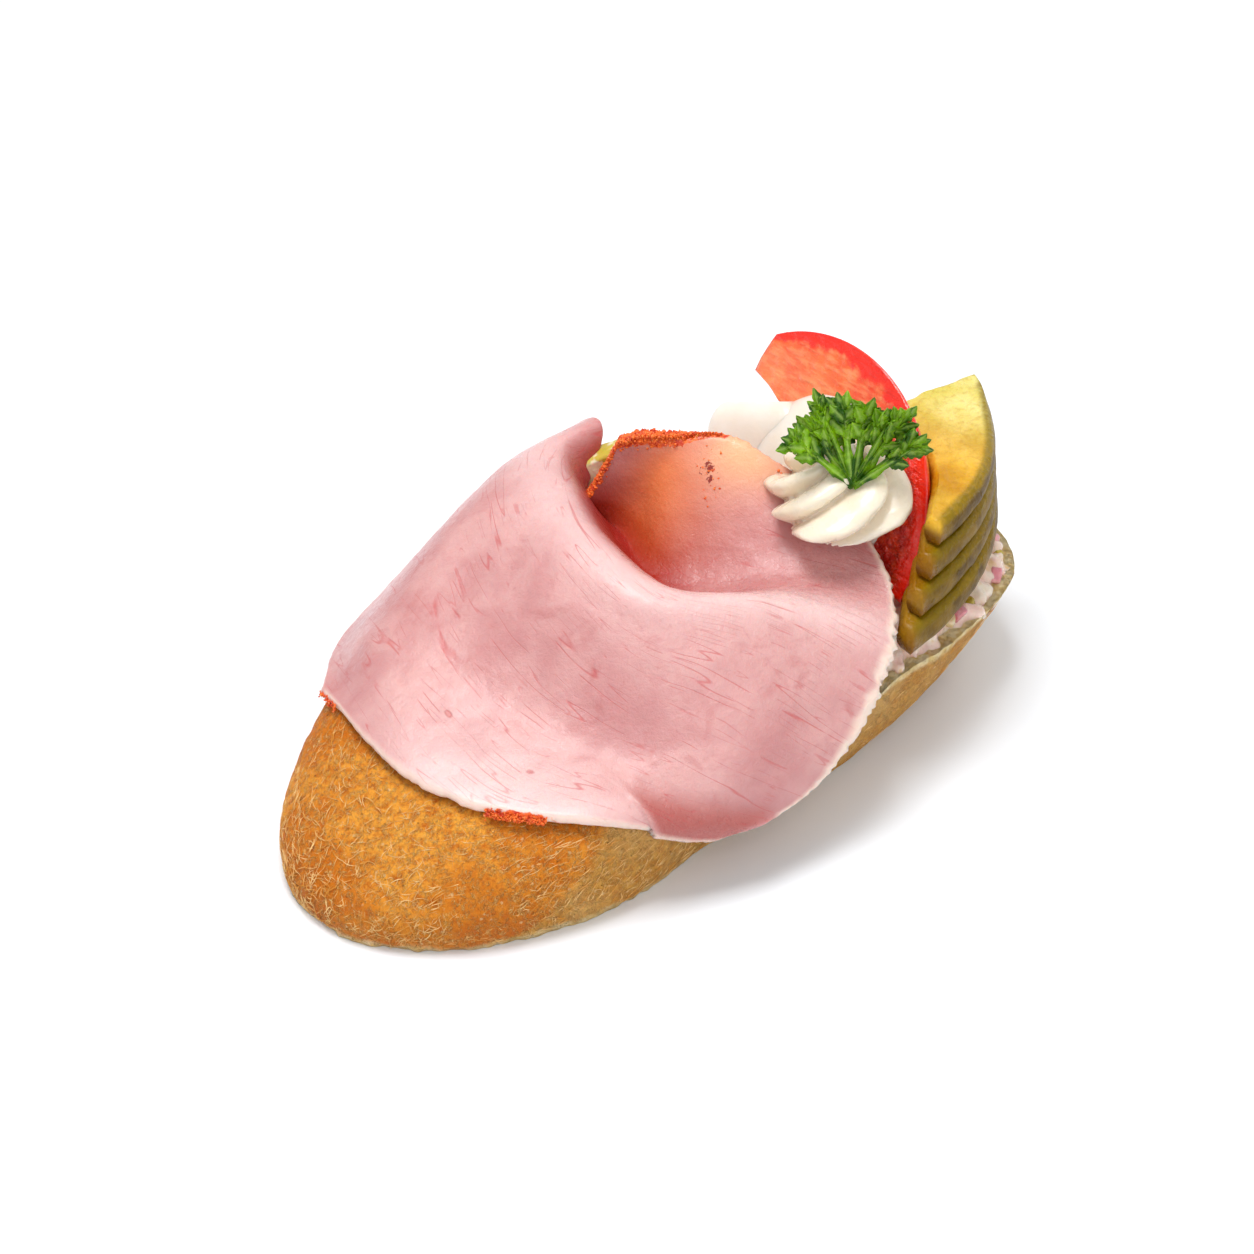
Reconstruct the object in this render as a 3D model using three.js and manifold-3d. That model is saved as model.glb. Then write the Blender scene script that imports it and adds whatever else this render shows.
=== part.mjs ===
// Open sandwich: an oblique slice of long white loaf, spread with ham and potato salad and
// topped with a folded slice of paprika-edged ham, boiled egg, tomato, a fanned gherkin,
// a piped rosette of mayonnaise and a sprig of curly parsley.
//
// Millimetres, +Z up. The origin is on the flat underside of the bread, near its middle.
// +X runs along the loaf slice from its domed heel to its cut tip, and -Y is the side
// where the pale underside of the loaf shows.

import * as THREE from 'three';
import { mergeVertices } from 'three/addons/utils/BufferGeometryUtils.js';
import Module from 'manifold-3d';

const wasm = await Module();
wasm.setup();

// ---------------------------------------------------------------- driving dimensions

const GAP = 0.35; // air left between neighbouring pieces

const BREAD_HEIGHT = 17;
const BREAD_SIDES = 56;
const BREAD_RINGS = 8;
const TOP_FACE = { x: 17, y: 0.8, a: 43, b: 36, power: 2.6, farSkew: -10, nearSkew: 3 };
const FOOTPRINT = { x: -3, y: 2.8, a: 59, b: 32, power: 2.08, farSkew: -8, nearSkew: 2.5 };
const FOOT_ROUNDING = 1.6; // how far the lower edge of the crust turns in
const NOTCH = { x: -15, depth: 2.4, width: 9 }; // the shallow dip along the pale side

const SALAD_LEVEL = 20.5; // top of the spread, above the plate
const SALAD_LUMP = 1.5;
const SALAD_SCALE = 0.95; // share of the cut face that the spread covers
const SALAD_MOUND = { x: -2, y: 4, height: 5.5, width: 17 }; // heap that carries the ham

const HAM_THICKNESS = 1.7;
const HAM_STEPS = { across: 23, along: 27 };

const TOMATO = {
  foot: new THREE.Vector3(28, 4, 20), // where the plane of the cut face meets the spread
  lean: 0.5, // run over rise of the leaning slice
  turn: 10, // degrees that the slice turns to face the pale side
  centre: [-9, 9.1],
  radius: 25.9,
  from: 55, // degrees on the skin circle, from the cut end to the foot
  to: 189,
  innerFrom: 41.6, // the cut end slants, so the inner edge starts earlier
  flesh: [4.5, 10.5, 17], // width from skin to core: at the cut end, past it, and beyond
  fleshAt: [0, 0.068, 0.35], // where along the slice those widths are reached
  thickness: 7,
  slope: 4.9, // how far the skin comes in from the cut face to the back
};

const EGG_CAP = { x: 33.5, y: -10.5, z: 31.5, across: 14.5, tall: 13.5, deep: 8 };
const EGG_PIECE = { x: 31.5, y: 1.5, z: 31, long: 17, deep: 7, tall: 19, corner: 2.6, roll: -21 };

const GHERKIN = {
  slices: 4,
  foot: 21.0,
  step: 4.9, // from one slice to the next at the near end
  tipStep: 2.7, // the same at the tip, where the slices are thin
  tip: [61, -16.5], // the uncut end that holds the fan together
  near: [12, -32.5],
  bulge: 9.5, // how far the skin side swells out
  corner: [8, -6.8], // inner corners of the cut side: along from the tip, and across
  widest: [16, -10],
  waist: [24, -3.5, 0.2], // across is given for the lowest and the highest slice
  end: 2.4, // width left at the near end
  short: [4, 12], // trimmed off the near end, on the lowest and the highest slice
  rise: 8.5, // of the lowest slice towards the tip
  swing: 1.2, // turn of each slice in the fan, degrees
};

const MAYO = {
  x: 26,
  y: -17.4,
  z: 34.2,
  radius: 11.2,
  height: 11.5,
  ribs: 8,
  depth: 0.24,
  twist: 1.1,
  profile: [ // share of the radius, and share of the height, from the foot to the peak
    [0.62, 0], [0.9, 0.06], [1, 0.2], [0.96, 0.36], [0.84, 0.5],
    [0.74, 0.6], [0.66, 0.72], [0.48, 0.86], [0.24, 0.96],
  ],
};

const PARSLEY = { x: 22.8, y: -21.7, z: 42.2, length: 15, spread: 104, thickness: 5, ribs: 9 };

const CHEESE = { x: 17.6, y: 20.6, z: 21.2, height: 11.4, width: 7.5, deep: 4 };

// The ham slice is lofted across six guide lines. Each runs from the left rim of the slice
// to its right rim: the hem on the crust, the skirt, the brow and the crest of the fold,
// the bottom of the fold, and the paprika rim that leans on the egg.
const HAM_GUIDES = [
  [
    [-36.5, 28.5, 15], [-41.5, 14, 16.7], [-43.8, 1, 16.6], [-40.8, -10.2, 16.4],
    [-33, -21.5, 15.7], [-22.5, -29.2, 10.8], [-15.5, -33, 9.3],
  ],
  [
    [-21, 37.5, 12.5], [-26, 25, 22], [-27, 11, 22], [-26, -3, 20.5],
    [-21.5, -16.3, 19.4], [-15, -29, 18.8], [-4, -37, 12.2],
  ],
  [
    [7, 38, 19], [-2, 28.5, 31], [-8, 17.5, 33], [-12.5, 3, 33],
    [-12, -11, 31], [-3, -25.5, 27.5], [7, -37.7, 19.5],
  ],
  [
    [20.5, 24.5, 34.5], [11, 24, 34.5], [3, 15.5, 35.3], [-4, 3, 35.5],
    [-5.5, -10.5, 33.8], [6, -22.5, 30.6], [14.5, -35.8, 25],
  ],
  [
    [10, 20, 25.5], [12, 17, 24.6], [11, 11, 24.2], [6, 2, 24.5],
    [7, -7.5, 26], [15, -18, 29.2], [23.5, -29, 28.6],
  ],
  [
    [13.5, 14, 39.5], [15, 11, 41], [17, 7.5, 41.3], [19.5, 4.5, 41.3],
    [22.5, -0.5, 41], [25, -8, 38.5], [27.5, -18, 33.5],
  ],
];

// ------------------------------------------------------------------------- helpers

const clamp = (value, low, high) => Math.min(Math.max(value, low), high);
const mix = (a, b, t) => a + (b - a) * t;
const smooth = (a, b, x) => {
  const t = clamp((x - a) / (b - a), 0, 1);
  return t * t * (3 - 2 * t);
};
const signedPower = (x, power) => Math.sign(x) * Math.abs(x) ** power;
const radians = (degrees) => (degrees * Math.PI) / 180;
const bell = (x, centre, width) => Math.exp(-(((x - centre) / width) ** 2));

// A smooth line through a few points, read at 0..1 and a little beyond.
function alongLine(points, t) {
  const last = points.length - 1;
  const at = t * last;
  const i = clamp(Math.floor(at), 0, last - 1);
  const f = at - i;
  const p1 = points[i];
  const p2 = points[i + 1];
  const p0 = points[i - 1] ?? p1.map((value, k) => 2 * value - p2[k]);
  const p3 = points[i + 2] ?? p2.map((value, k) => 2 * value - p1[k]);
  return p1.map((value, k) => {
    const slope = (p2[k] - p0[k]) * f;
    const bend = (2 * p0[k] - 5 * value + 4 * p2[k] - p3[k]) * f * f;
    const twist = (3 * value - p0[k] - 3 * p2[k] + p3[k]) * f ** 3;
    return 0.5 * (2 * value + slope + bend + twist);
  });
}

function geometryFrom(points, triangles) {
  const geometry = new THREE.BufferGeometry();
  geometry.setAttribute('position', new THREE.Float32BufferAttribute(points.flat(), 3));
  geometry.setIndex(triangles.flat());
  return facingOut(mergeVertices(geometry, 1e-4));
}

function facingOut(geometry) {
  const position = geometry.getAttribute('position');
  const index = geometry.getIndex();
  const [a, b, c] = [new THREE.Vector3(), new THREE.Vector3(), new THREE.Vector3()];
  let volume = 0;
  for (let i = 0; i < index.count; i += 3) {
    a.fromBufferAttribute(position, index.getX(i));
    b.fromBufferAttribute(position, index.getX(i + 1));
    c.fromBufferAttribute(position, index.getX(i + 2));
    volume += a.dot(b.cross(c));
  }
  if (volume < 0) {
    const flipped = Array.from(index.array).reverse();
    geometry.setIndex(flipped);
  }
  return geometry;
}

// Closed solid through a stack of rings that have the same number of points.
function loft(rings) {
  const sides = rings[0].length;
  const points = rings.flat();
  const triangles = [];
  for (let r = 0; r + 1 < rings.length; r += 1) {
    for (let i = 0; i < sides; i += 1) {
      const a = r * sides + i;
      const b = r * sides + ((i + 1) % sides);
      triangles.push([a, b, b + sides], [a, b + sides, a + sides]);
    }
  }
  for (const [first, turn] of [[0, -1], [(rings.length - 1) * sides, 1]]) {
    const ring = points.slice(first, first + sides);
    const middle = [0, 1, 2].map((k) => ring.reduce((sum, p) => sum + p[k], 0) / sides);
    const hub = points.push(middle) - 1;
    for (let i = 0; i < sides; i += 1) {
      const a = first + i;
      const b = first + ((i + 1) % sides);
      triangles.push(turn > 0 ? [a, b, hub] : [b, a, hub]);
    }
  }
  return geometryFrom(points, triangles);
}

// Closed sheet: a surface read at (u, v), given an even thickness.
function sheet(surface, across, along, thickness) {
  const points = [];
  const reach = 1e-3;
  for (const side of [0.5, -0.5]) {
    for (let j = 0; j <= along; j += 1) {
      for (let i = 0; i <= across; i += 1) {
        const [u, v] = [i / across, j / along];
        const here = new THREE.Vector3(...surface(u, v));
        const du = new THREE.Vector3(...surface(Math.min(u + reach, 1), v));
        du.sub(new THREE.Vector3(...surface(Math.max(u - reach, 0), v)));
        const dv = new THREE.Vector3(...surface(u, Math.min(v + reach, 1)));
        dv.sub(new THREE.Vector3(...surface(u, Math.max(v - reach, 0))));
        const normal = du.cross(dv).normalize();
        points.push(here.addScaledVector(normal, side * thickness).toArray());
      }
    }
  }
  const row = across + 1;
  const layer = row * (along + 1);
  const triangles = [];
  for (let j = 0; j < along; j += 1) {
    for (let i = 0; i < across; i += 1) {
      const a = j * row + i;
      triangles.push([a, a + 1, a + row + 1], [a, a + row + 1, a + row]);
      const b = a + layer;
      triangles.push([b + 1, b, b + row + 1], [b + row + 1, b, b + row]);
    }
  }
  const rim = [];
  for (let i = 0; i < across; i += 1) rim.push(i);
  for (let j = 0; j < along; j += 1) rim.push(j * row + across);
  for (let i = across; i > 0; i -= 1) rim.push(along * row + i);
  for (let j = along; j > 0; j -= 1) rim.push(j * row);
  rim.forEach((a, k) => {
    const b = rim[(k + 1) % rim.length];
    triangles.push([b, a, a + layer], [b, a + layer, b + layer]);
  });
  return geometryFrom(points, triangles);
}

function toManifold(geometry) {
  const bare = geometry.clone();
  bare.deleteAttribute('normal');
  bare.deleteAttribute('uv');
  const merged = mergeVertices(bare, 1e-4);
  return new wasm.Manifold(
    new wasm.Mesh({
      numProp: 3,
      vertProperties: Float32Array.from(merged.getAttribute('position').array),
      triVerts: Uint32Array.from(merged.getIndex().array),
    }),
  );
}

// Cuts the given pieces out of a solid and keeps the largest body that is left.
function carve(geometry, cutters) {
  let solid = toManifold(geometry);
  for (const cutter of cutters) solid = solid.subtract(toManifold(cutter));
  const bodies = solid.decompose();
  bodies.sort((a, b) => b.volume() - a.volume());
  const mesh = bodies[0].getMesh();
  const points = [];
  for (let i = 0; i < mesh.numVert; i += 1) {
    points.push(Array.from(mesh.vertProperties.slice(i * mesh.numProp, i * mesh.numProp + 3)));
  }
  return geometryFrom(points, [Array.from(mesh.triVerts)]);
}

// --------------------------------------------------------------------------- bread

function oblong(shape, angle) {
  const [c, s] = [Math.cos(angle), Math.sin(angle)];
  const x = shape.x + shape.a * signedPower(c, 2 / shape.power);
  const y = shape.y + shape.b * signedPower(s, 2 / shape.power);
  const far = shape.farSkew * Math.max(c, 0) ** 1.2;
  const near = shape.nearSkew * Math.max(-c, 0) ** 1.5;
  return [x, y + far + near];
}

// The heel rises in a quarter of an ellipse, and the other sides lean out towards the top.
function breadPoint(angle, rise) {
  const heel = 1 - Math.cos(rise);
  const side = Math.sin(rise) ** 0.75;
  const heelShare = 1 / (1 + Math.exp((Math.cos(angle) + 0.25) * 9));
  const share = mix(side, heel, heelShare);
  const low = oblong(FOOTPRINT, angle);
  const high = oblong(TOP_FACE, angle);
  const tuck = FOOT_ROUNDING * (1 - Math.sin(Math.min(rise * 4, Math.PI / 2)));
  const x = mix(low[0], high[0], share) - tuck * Math.cos(angle);
  let y = mix(low[1], high[1], share) - tuck * Math.sin(angle);
  if (Math.sin(angle) < 0) y += NOTCH.depth * bell(x, NOTCH.x, NOTCH.width) * (1 - share);
  return [x, y, BREAD_HEIGHT * Math.sin(rise)];
}

function makeBread() {
  const rings = [];
  for (let r = 0; r <= BREAD_RINGS; r += 1) {
    const rise = (Math.PI / 2) * (r / BREAD_RINGS);
    const ring = [];
    for (let i = 0; i < BREAD_SIDES; i += 1) {
      ring.push(breadPoint((2 * Math.PI * i) / BREAD_SIDES, rise));
    }
    rings.push(ring);
  }
  return loft(rings);
}

// --------------------------------------------------------------------------- salad

function saladHeight(x, y, share) {
  const mound = SALAD_MOUND.height * bell(x, SALAD_MOUND.x, SALAD_MOUND.width)
    * bell(y, SALAD_MOUND.y, SALAD_MOUND.width);
  const waves = Math.sin(0.62 * x + 1.1) * Math.sin(0.55 * y - 0.4) + 0.6 * Math.sin(1.05 * x - 0.7 * y);
  const lumps = SALAD_LUMP * waves * smooth(0.72, 0.9, share);
  return SALAD_LEVEL + mound + lumps - 1.6 * smooth(0.86, 1, share);
}

// With room to spare it becomes the cutter that seats the toppings on the spread.
function makeSalad(grow = 0) {
  const sides = 54;
  const steps = 6;
  const centre = [TOP_FACE.x, TOP_FACE.y];
  const base = grow > 0 ? 0 : BREAD_HEIGHT + GAP;
  const outline = (angle, share) => {
    const [x, y] = oblong(TOP_FACE, angle);
    const wobble = 1 + 0.012 * Math.sin(9 * angle) + 0.01 * Math.sin(17 * angle + 1);
    const reach = SALAD_SCALE * share * wobble;
    return [mix(centre[0], x, reach), mix(centre[1], y, reach)];
  };
  const ring = (share, height) => {
    const points = [];
    for (let i = 0; i < sides; i += 1) {
      const [x, y] = outline((2 * Math.PI * i) / sides, share);
      points.push([x, y, height(x, y)]);
    }
    return points;
  };
  const brim = BREAD_HEIGHT + GAP + 1.2;
  const rings = [ring(0.5, () => base), ring(0.98 + grow / 40, () => base)];
  rings.push(ring(1.01 + grow / 40, () => brim));
  for (let k = steps; k > 0; k -= 1) {
    const share = k / steps;
    const reach = share * 0.995 + grow / 40;
    rings.push(ring(reach, (x, y) => Math.max(saladHeight(x, y, share), brim + 0.4) + grow));
  }
  return loft(rings);
}

// ----------------------------------------------------------------------------- ham

function hamSurface(u, v) {
  return alongLine(HAM_GUIDES.map((line) => alongLine(line, u)), v);
}

// With room to spare it reaches a little past the rim too, and cuts seats for the slice.
function makeHam(grow = 0) {
  const over = grow * 0.012;
  const reach = (t) => mix(-over, 1 + over, t);
  const surface = (u, v) => hamSurface(reach(u), reach(v));
  return sheet(surface, HAM_STEPS.across, HAM_STEPS.along, HAM_THICKNESS + 2 * grow);
}

// -------------------------------------------------------------------------- tomato

// A point on the tomato: side and up lie in its cut face, depth runs to its back.
function onTomato(side, up, depth) {
  const upright = new THREE.Vector3(0, 0, 1);
  const point = new THREE.Vector3(depth, side, up);
  point.applyAxisAngle(new THREE.Vector3(0, 1, 0), Math.atan(TOMATO.lean));
  point.applyAxisAngle(upright, -radians(TOMATO.turn));
  return point.add(TOMATO.foot).toArray();
}

function onArc(radius, degrees) {
  const [c, s] = [Math.cos(radians(degrees)), Math.sin(radians(degrees))];
  return [TOMATO.centre[0] + radius * c, TOMATO.centre[1] + radius * s];
}

function makeTomato(grow = 0) {
  const arcSteps = 18;
  const outline = (depth, inset) => {
    const outer = [];
    const inner = [];
    for (let i = 0; i <= arcSteps; i += 1) {
      const share = i / arcSteps;
      const [first, second, third] = TOMATO.flesh;
      const [, bend, full] = TOMATO.fleshAt;
      const early = mix(first, second, clamp(share / bend, 0, 1));
      const flesh = mix(early, third, smooth(bend, full, share));
      const slope = Math.min(TOMATO.slope, 0.6 * flesh) * clamp(depth / TOMATO.thickness, 0, 1);
      const far = TOMATO.radius - slope - inset;
      const near = TOMATO.radius - flesh + inset;
      outer.push(onArc(far, mix(TOMATO.from, TOMATO.to, share)));
      inner.unshift(onArc(near, mix(TOMATO.innerFrom, TOMATO.to, share)));
    }
    return outer.concat(inner);
  };
  const back = TOMATO.thickness;
  const layers = [[-grow, 0.6 - grow], [0.8 - grow, -grow], [back / 2, -0.4 - grow]];
  layers.push([back - 0.8 + grow, -grow], [back + grow, 0.6 - grow]);
  return loft(layers.map(([depth, inset]) => {
    return outline(depth, inset).map(([side, up]) => onTomato(side, up, depth));
  }));
}

// ----------------------------------------------------------------------------- egg

function makeEggCap(grow = 0) {
  const geometry = new THREE.SphereGeometry(1, 20, 12);
  geometry.scale(EGG_CAP.deep + grow, EGG_CAP.across + grow, EGG_CAP.tall + grow);
  geometry.rotateY(Math.atan(TOMATO.lean));
  geometry.translate(EGG_CAP.x, EGG_CAP.y, EGG_CAP.z);
  return geometry;
}

// Rounded wedge of egg white: a box whose corners follow a superellipse.
function makeEggPiece() {
  const rings = [];
  const sides = 20;
  const levels = 6;
  for (let k = 0; k <= levels; k += 1) {
    const share = k / levels;
    const z = mix(-EGG_PIECE.tall / 2, EGG_PIECE.tall / 2, share);
    const inset = EGG_PIECE.corner * Math.abs(2 * share - 1) ** 5;
    const ring = [];
    for (let i = 0; i < sides; i += 1) {
      const angle = (2 * Math.PI * i) / sides;
      const a = (EGG_PIECE.long / 2 - inset) * signedPower(Math.cos(angle), 0.42);
      const b = (EGG_PIECE.deep / 2 - inset * 0.6) * signedPower(Math.sin(angle), 0.55);
      ring.push([b, -a, z]);
    }
    rings.push(ring);
  }
  const geometry = loft(rings);
  geometry.rotateX(radians(EGG_PIECE.roll));
  geometry.rotateY(Math.atan(TOMATO.lean));
  geometry.translate(EGG_PIECE.x, EGG_PIECE.y, EGG_PIECE.z);
  return geometry;
}

// ------------------------------------------------------------------------- gherkin

// Slices of a gherkin, held at the far tip and fanned: each lies on the one below, and the
// side towards the tomato is cut back to make room for it.
function makeGherkinSlice(level) {
  const skinSteps = 12;
  const cutSteps = 3;
  const tip = new THREE.Vector2(...GHERKIN.tip);
  const near = new THREE.Vector2(...GHERKIN.near);
  const axis = near.clone().sub(tip);
  const length = axis.length();
  axis.normalize();
  const out = new THREE.Vector2(-axis.y, axis.x); // towards the skin side
  const height = level / (GHERKIN.slices - 1);
  const turn = radians(GHERKIN.swing * (GHERKIN.slices - 1 - level));
  const end = length - mix(...GHERKIN.short, height);
  const skin = (along) => GHERKIN.bulge * Math.sin(Math.PI * clamp(along / length, 0, 1)) ** 0.8;
  const [waist, lowWaist, highWaist] = GHERKIN.waist;
  const cutSide = [[end, skin(end) - GHERKIN.end], [waist, mix(lowWaist, highWaist, height)]];
  cutSide.push(GHERKIN.widest, GHERKIN.corner);
  const outline = (inset) => {
    const line = [];
    for (let i = 0; i <= skinSteps; i += 1) {
      const along = mix(inset, end - inset, i / skinSteps);
      line.push([along, Math.max(skin(along) - inset, 0)]);
    }
    for (let i = 0; i <= cutSteps; i += 1) {
      const [along, off] = cutSide[i];
      line.push([Math.min(along, end - inset), off + inset]);
    }
    return line;
  };
  const pitch = (along) => mix(GHERKIN.tipStep, GHERKIN.step, along / length);
  const place = ([along, off], share, lift) => {
    const [c, s] = [Math.cos(turn), Math.sin(turn)];
    const [a, b] = [along * c - off * s, along * s + off * c];
    const x = tip.x + axis.x * a + out.x * b;
    const y = tip.y + axis.y * a + out.y * b;
    const low = GHERKIN.foot + GHERKIN.rise * (1 - along / length) + level * pitch(along);
    return [x, y, low + share * (pitch(along) - GAP) + lift];
  };
  const layers = [[0, 0, 0.9], [0, 0.6, 0], [1, -1.2, 0], [1, 0, 0.9]];
  return loft(layers.map(([share, lift, inset]) => outline(inset).map((p) => place(p, share, lift))));
}

// --------------------------------------------------------------------- mayonnaise

// Piped star rosette: ribs that twist as they rise to a blunt peak.
function makeMayo(grow = 0) {
  const sides = 48;
  const rings = MAYO.profile.map(([wide, high]) => {
    const ring = [];
    for (let i = 0; i < sides; i += 1) {
      const angle = (2 * Math.PI * i) / sides;
      const rib = Math.cos(MAYO.ribs * (angle - MAYO.twist * high));
      const radius = MAYO.radius * wide * (1 - MAYO.depth * (0.5 - 0.5 * rib)) + grow;
      const z = MAYO.z + MAYO.height * high + grow * (2 * high - 1);
      ring.push([MAYO.x + radius * Math.cos(angle), MAYO.y + radius * Math.sin(angle), z]);
    }
    return ring;
  });
  return loft(rings);
}

// ------------------------------------------------------------------------- parsley

// Curly sprig: a fan that opens from the stem, crimped along its outer edge.
function makeParsley() {
  const steps = 18;
  const rise = new THREE.Vector3(0.42, 0.35, 0.84).normalize();
  const across = new THREE.Vector3(0.64, -0.77, 0).normalize();
  const front = new THREE.Vector3().crossVectors(across, rise).normalize();
  const levels = [[0.05, 0.25], [0.3, 0.6], [0.62, 1], [0.9, 1], [1, 0.45]];
  const rings = levels.map(([share, fat]) => {
    const ring = [];
    for (const side of [1, -1]) {
      for (let i = 0; i <= steps; i += 1) {
        const t = side > 0 ? i / steps : 1 - i / steps;
        const angle = radians(mix(-0.5, 0.5, t) * PARSLEY.spread);
        const crimp = Math.sin(Math.PI * PARSLEY.ribs * t) * 0.07 * share;
        const reach = PARSLEY.length * share * (1 + crimp) * (1 - 0.1 * Math.cos(2 * angle));
        const edge = Math.sin(Math.PI * mix(0.12, 0.88, t));
        const point = new THREE.Vector3(PARSLEY.x, PARSLEY.y, PARSLEY.z);
        point.addScaledVector(rise, reach * Math.cos(angle));
        point.addScaledVector(across, reach * Math.sin(angle));
        point.addScaledVector(front, side * 0.5 * PARSLEY.thickness * fat * edge);
        ring.push(point.toArray());
      }
    }
    return ring;
  });
  return loft(rings);
}

// -------------------------------------------------------------------------- cheese

function makeCheese() {
  const across = [0.64, -0.77];
  const deep = [0.77, 0.64];
  const corner = (a, b, z) => {
    const x = CHEESE.x + across[0] * a + deep[0] * b;
    return [x, CHEESE.y + across[1] * a + deep[1] * b, z];
  };
  const ring = (z, width) => {
    const [a, b] = [width / 2, CHEESE.deep / 2];
    return [corner(-a, -b, z), corner(a, -b, z), corner(a, b, z), corner(-a, b, z)];
  };
  const rings = [ring(CHEESE.z, CHEESE.width * 0.6), ring(CHEESE.z + CHEESE.height * 0.6, CHEESE.width)];
  rings.push(ring(CHEESE.z + CHEESE.height, CHEESE.width * 0.8));
  return loft(rings);
}

// ----------------------------------------------------------------------- assembly

const sandwich = new THREE.Group();

function add(name, geometry, color, roughness) {
  const material = new THREE.MeshStandardMaterial({ color, roughness, metalness: 0 });
  const mesh = new THREE.Mesh(geometry, material);
  mesh.name = name;
  sandwich.add(mesh);
}

const ham = makeHam();
const hamSpace = [ham, makeHam(GAP)];
const tomatoSpace = makeTomato(GAP);
const eggSpace = makeEggCap(GAP);
const salad = carve(makeSalad(), hamSpace);
const saladSpace = makeSalad(GAP);
const tomato = carve(makeTomato(), [saladSpace, ...hamSpace]);
const eggCap = carve(makeEggCap(), [saladSpace, ...hamSpace, tomatoSpace]);
const eggPiece = carve(makeEggPiece(), [saladSpace, ...hamSpace, tomatoSpace, eggSpace]);
const cheese = carve(makeCheese(), [saladSpace, ...hamSpace]);
const mayo = carve(makeMayo(), [...hamSpace, tomatoSpace, eggSpace]);
const mayoSpace = makeMayo(GAP);
const parsley = carve(makeParsley(), [mayoSpace, tomatoSpace, eggSpace]);

add('bread', carve(makeBread(), hamSpace), 0xcf8a3c, 0.75);
add('salad', salad, 0xe8cdbf, 0.4);
add('ham_slice', ham, 0xe8a9a6, 0.4);
add('egg_cap', eggCap, 0xf4efe4, 0.3);
add('egg_wedge', eggPiece, 0xf6efe2, 0.35);
add('cheese_wedge', cheese, 0xf0dcb0, 0.5);
add('tomato_wedge', tomato, 0xe5401f, 0.25);
const fanSpace = [saladSpace, ...hamSpace, tomatoSpace, eggSpace, mayoSpace];
for (let level = 0; level < GHERKIN.slices; level += 1) {
  const slice = carve(makeGherkinSlice(level), fanSpace);
  add(`gherkin_slice_${level + 1}`, slice, 0xa88a2c, 0.3);
}
add('mayonnaise', mayo, 0xf7f2e4, 0.25);
add('parsley', parsley, 0x2f7d1e, 0.5);

export default sandwich;
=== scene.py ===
# %% [markdown]
# # An open sandwich
# An oblique slice of white loaf, spread with potato and ham salad and topped with a folded
# slice of paprika-edged ham, boiled egg, tomato, a fanned gherkin, a rosette of mayonnaise
# and a sprig of parsley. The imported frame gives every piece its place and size. This
# script hides each plain solid and builds the real food over it, piece by piece.

import itertools
import math

import bmesh
import bpy
import numpy as np
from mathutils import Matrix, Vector


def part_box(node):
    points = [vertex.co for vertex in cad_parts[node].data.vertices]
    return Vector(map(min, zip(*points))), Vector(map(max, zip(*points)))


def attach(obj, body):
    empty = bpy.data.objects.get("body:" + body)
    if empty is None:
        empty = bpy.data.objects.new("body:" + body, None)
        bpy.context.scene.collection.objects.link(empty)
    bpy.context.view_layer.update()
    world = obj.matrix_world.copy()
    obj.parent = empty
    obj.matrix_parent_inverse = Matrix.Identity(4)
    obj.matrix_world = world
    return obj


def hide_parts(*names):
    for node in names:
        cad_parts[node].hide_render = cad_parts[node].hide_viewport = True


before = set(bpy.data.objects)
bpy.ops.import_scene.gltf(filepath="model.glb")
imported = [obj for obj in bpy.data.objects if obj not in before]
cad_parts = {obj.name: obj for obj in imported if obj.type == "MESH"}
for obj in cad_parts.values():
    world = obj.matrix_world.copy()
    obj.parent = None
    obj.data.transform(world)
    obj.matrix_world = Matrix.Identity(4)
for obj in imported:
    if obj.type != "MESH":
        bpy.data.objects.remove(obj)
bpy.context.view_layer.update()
MM = 0.001  # the food is worked out in millimetres, and Blender's unit is the metre
print("frame nodes:", ", ".join(sorted(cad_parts)))

# %% [markdown]
# ## Camera, lights and floor
# Food is usually shot from above the plate's edge with a long lens, so that nothing looks
# stretched. One large soft light high behind the left side gives wet highlights and a
# soft shadow to the lower right. A weaker one in front and one at the right lift the dark
# sides, and a pale sky fills the shadows, so the colours stay clean.

# %% Studio
LOOK_AT = Vector((0.0185, 0.0168, 0.0))
CAMERA_AZIMUTH = math.radians(-50)
CAMERA_ELEVATION = math.radians(38)
CAMERA_DISTANCE = 0.466
LENS_MM = 85.0
SENSOR_MM = 36.0
NEAREST_SEEN = 0.01
WHITE = (1.0, 1.0, 1.0, 1.0)
SKY_STRENGTH = 0.55
LIGHTS = (  # name, place in metres, side in metres, watts, colour
    ("window", (-0.04, 0.08, 0.60), 0.26, 2.55, (1.0, 0.99, 0.98)),
    ("front_fill", (-0.30, -0.42, 0.42), 0.40, 0.9, (1.0, 0.99, 0.98)),
    ("rim", (0.45, 0.05, 0.35), 0.25, 0.35, (1.0, 0.98, 0.95)),
)


def from_angles(azimuth, elevation):
    """Unit vector from the food towards a viewer at those angles."""
    flat = math.cos(elevation)
    return Vector((math.sin(azimuth) * flat, -math.cos(azimuth) * flat, math.sin(elevation)))


def aim(thing, place, target):
    """Puts a camera or a light at a place, looking at the target."""
    thing.location = place
    thing.rotation_mode = "QUATERNION"
    thing.rotation_quaternion = (target - place).to_track_quat("-Z", "Y")
    bpy.context.scene.collection.objects.link(thing)


camera = bpy.data.objects.new("camera", bpy.data.cameras.new("camera"))
camera.data.lens = LENS_MM
camera.data.sensor_width = SENSOR_MM
camera.data.clip_start = NEAREST_SEEN
camera_back = from_angles(CAMERA_AZIMUTH, CAMERA_ELEVATION)
aim(camera, LOOK_AT + camera_back * CAMERA_DISTANCE, LOOK_AT)
bpy.context.scene.camera = camera


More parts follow.
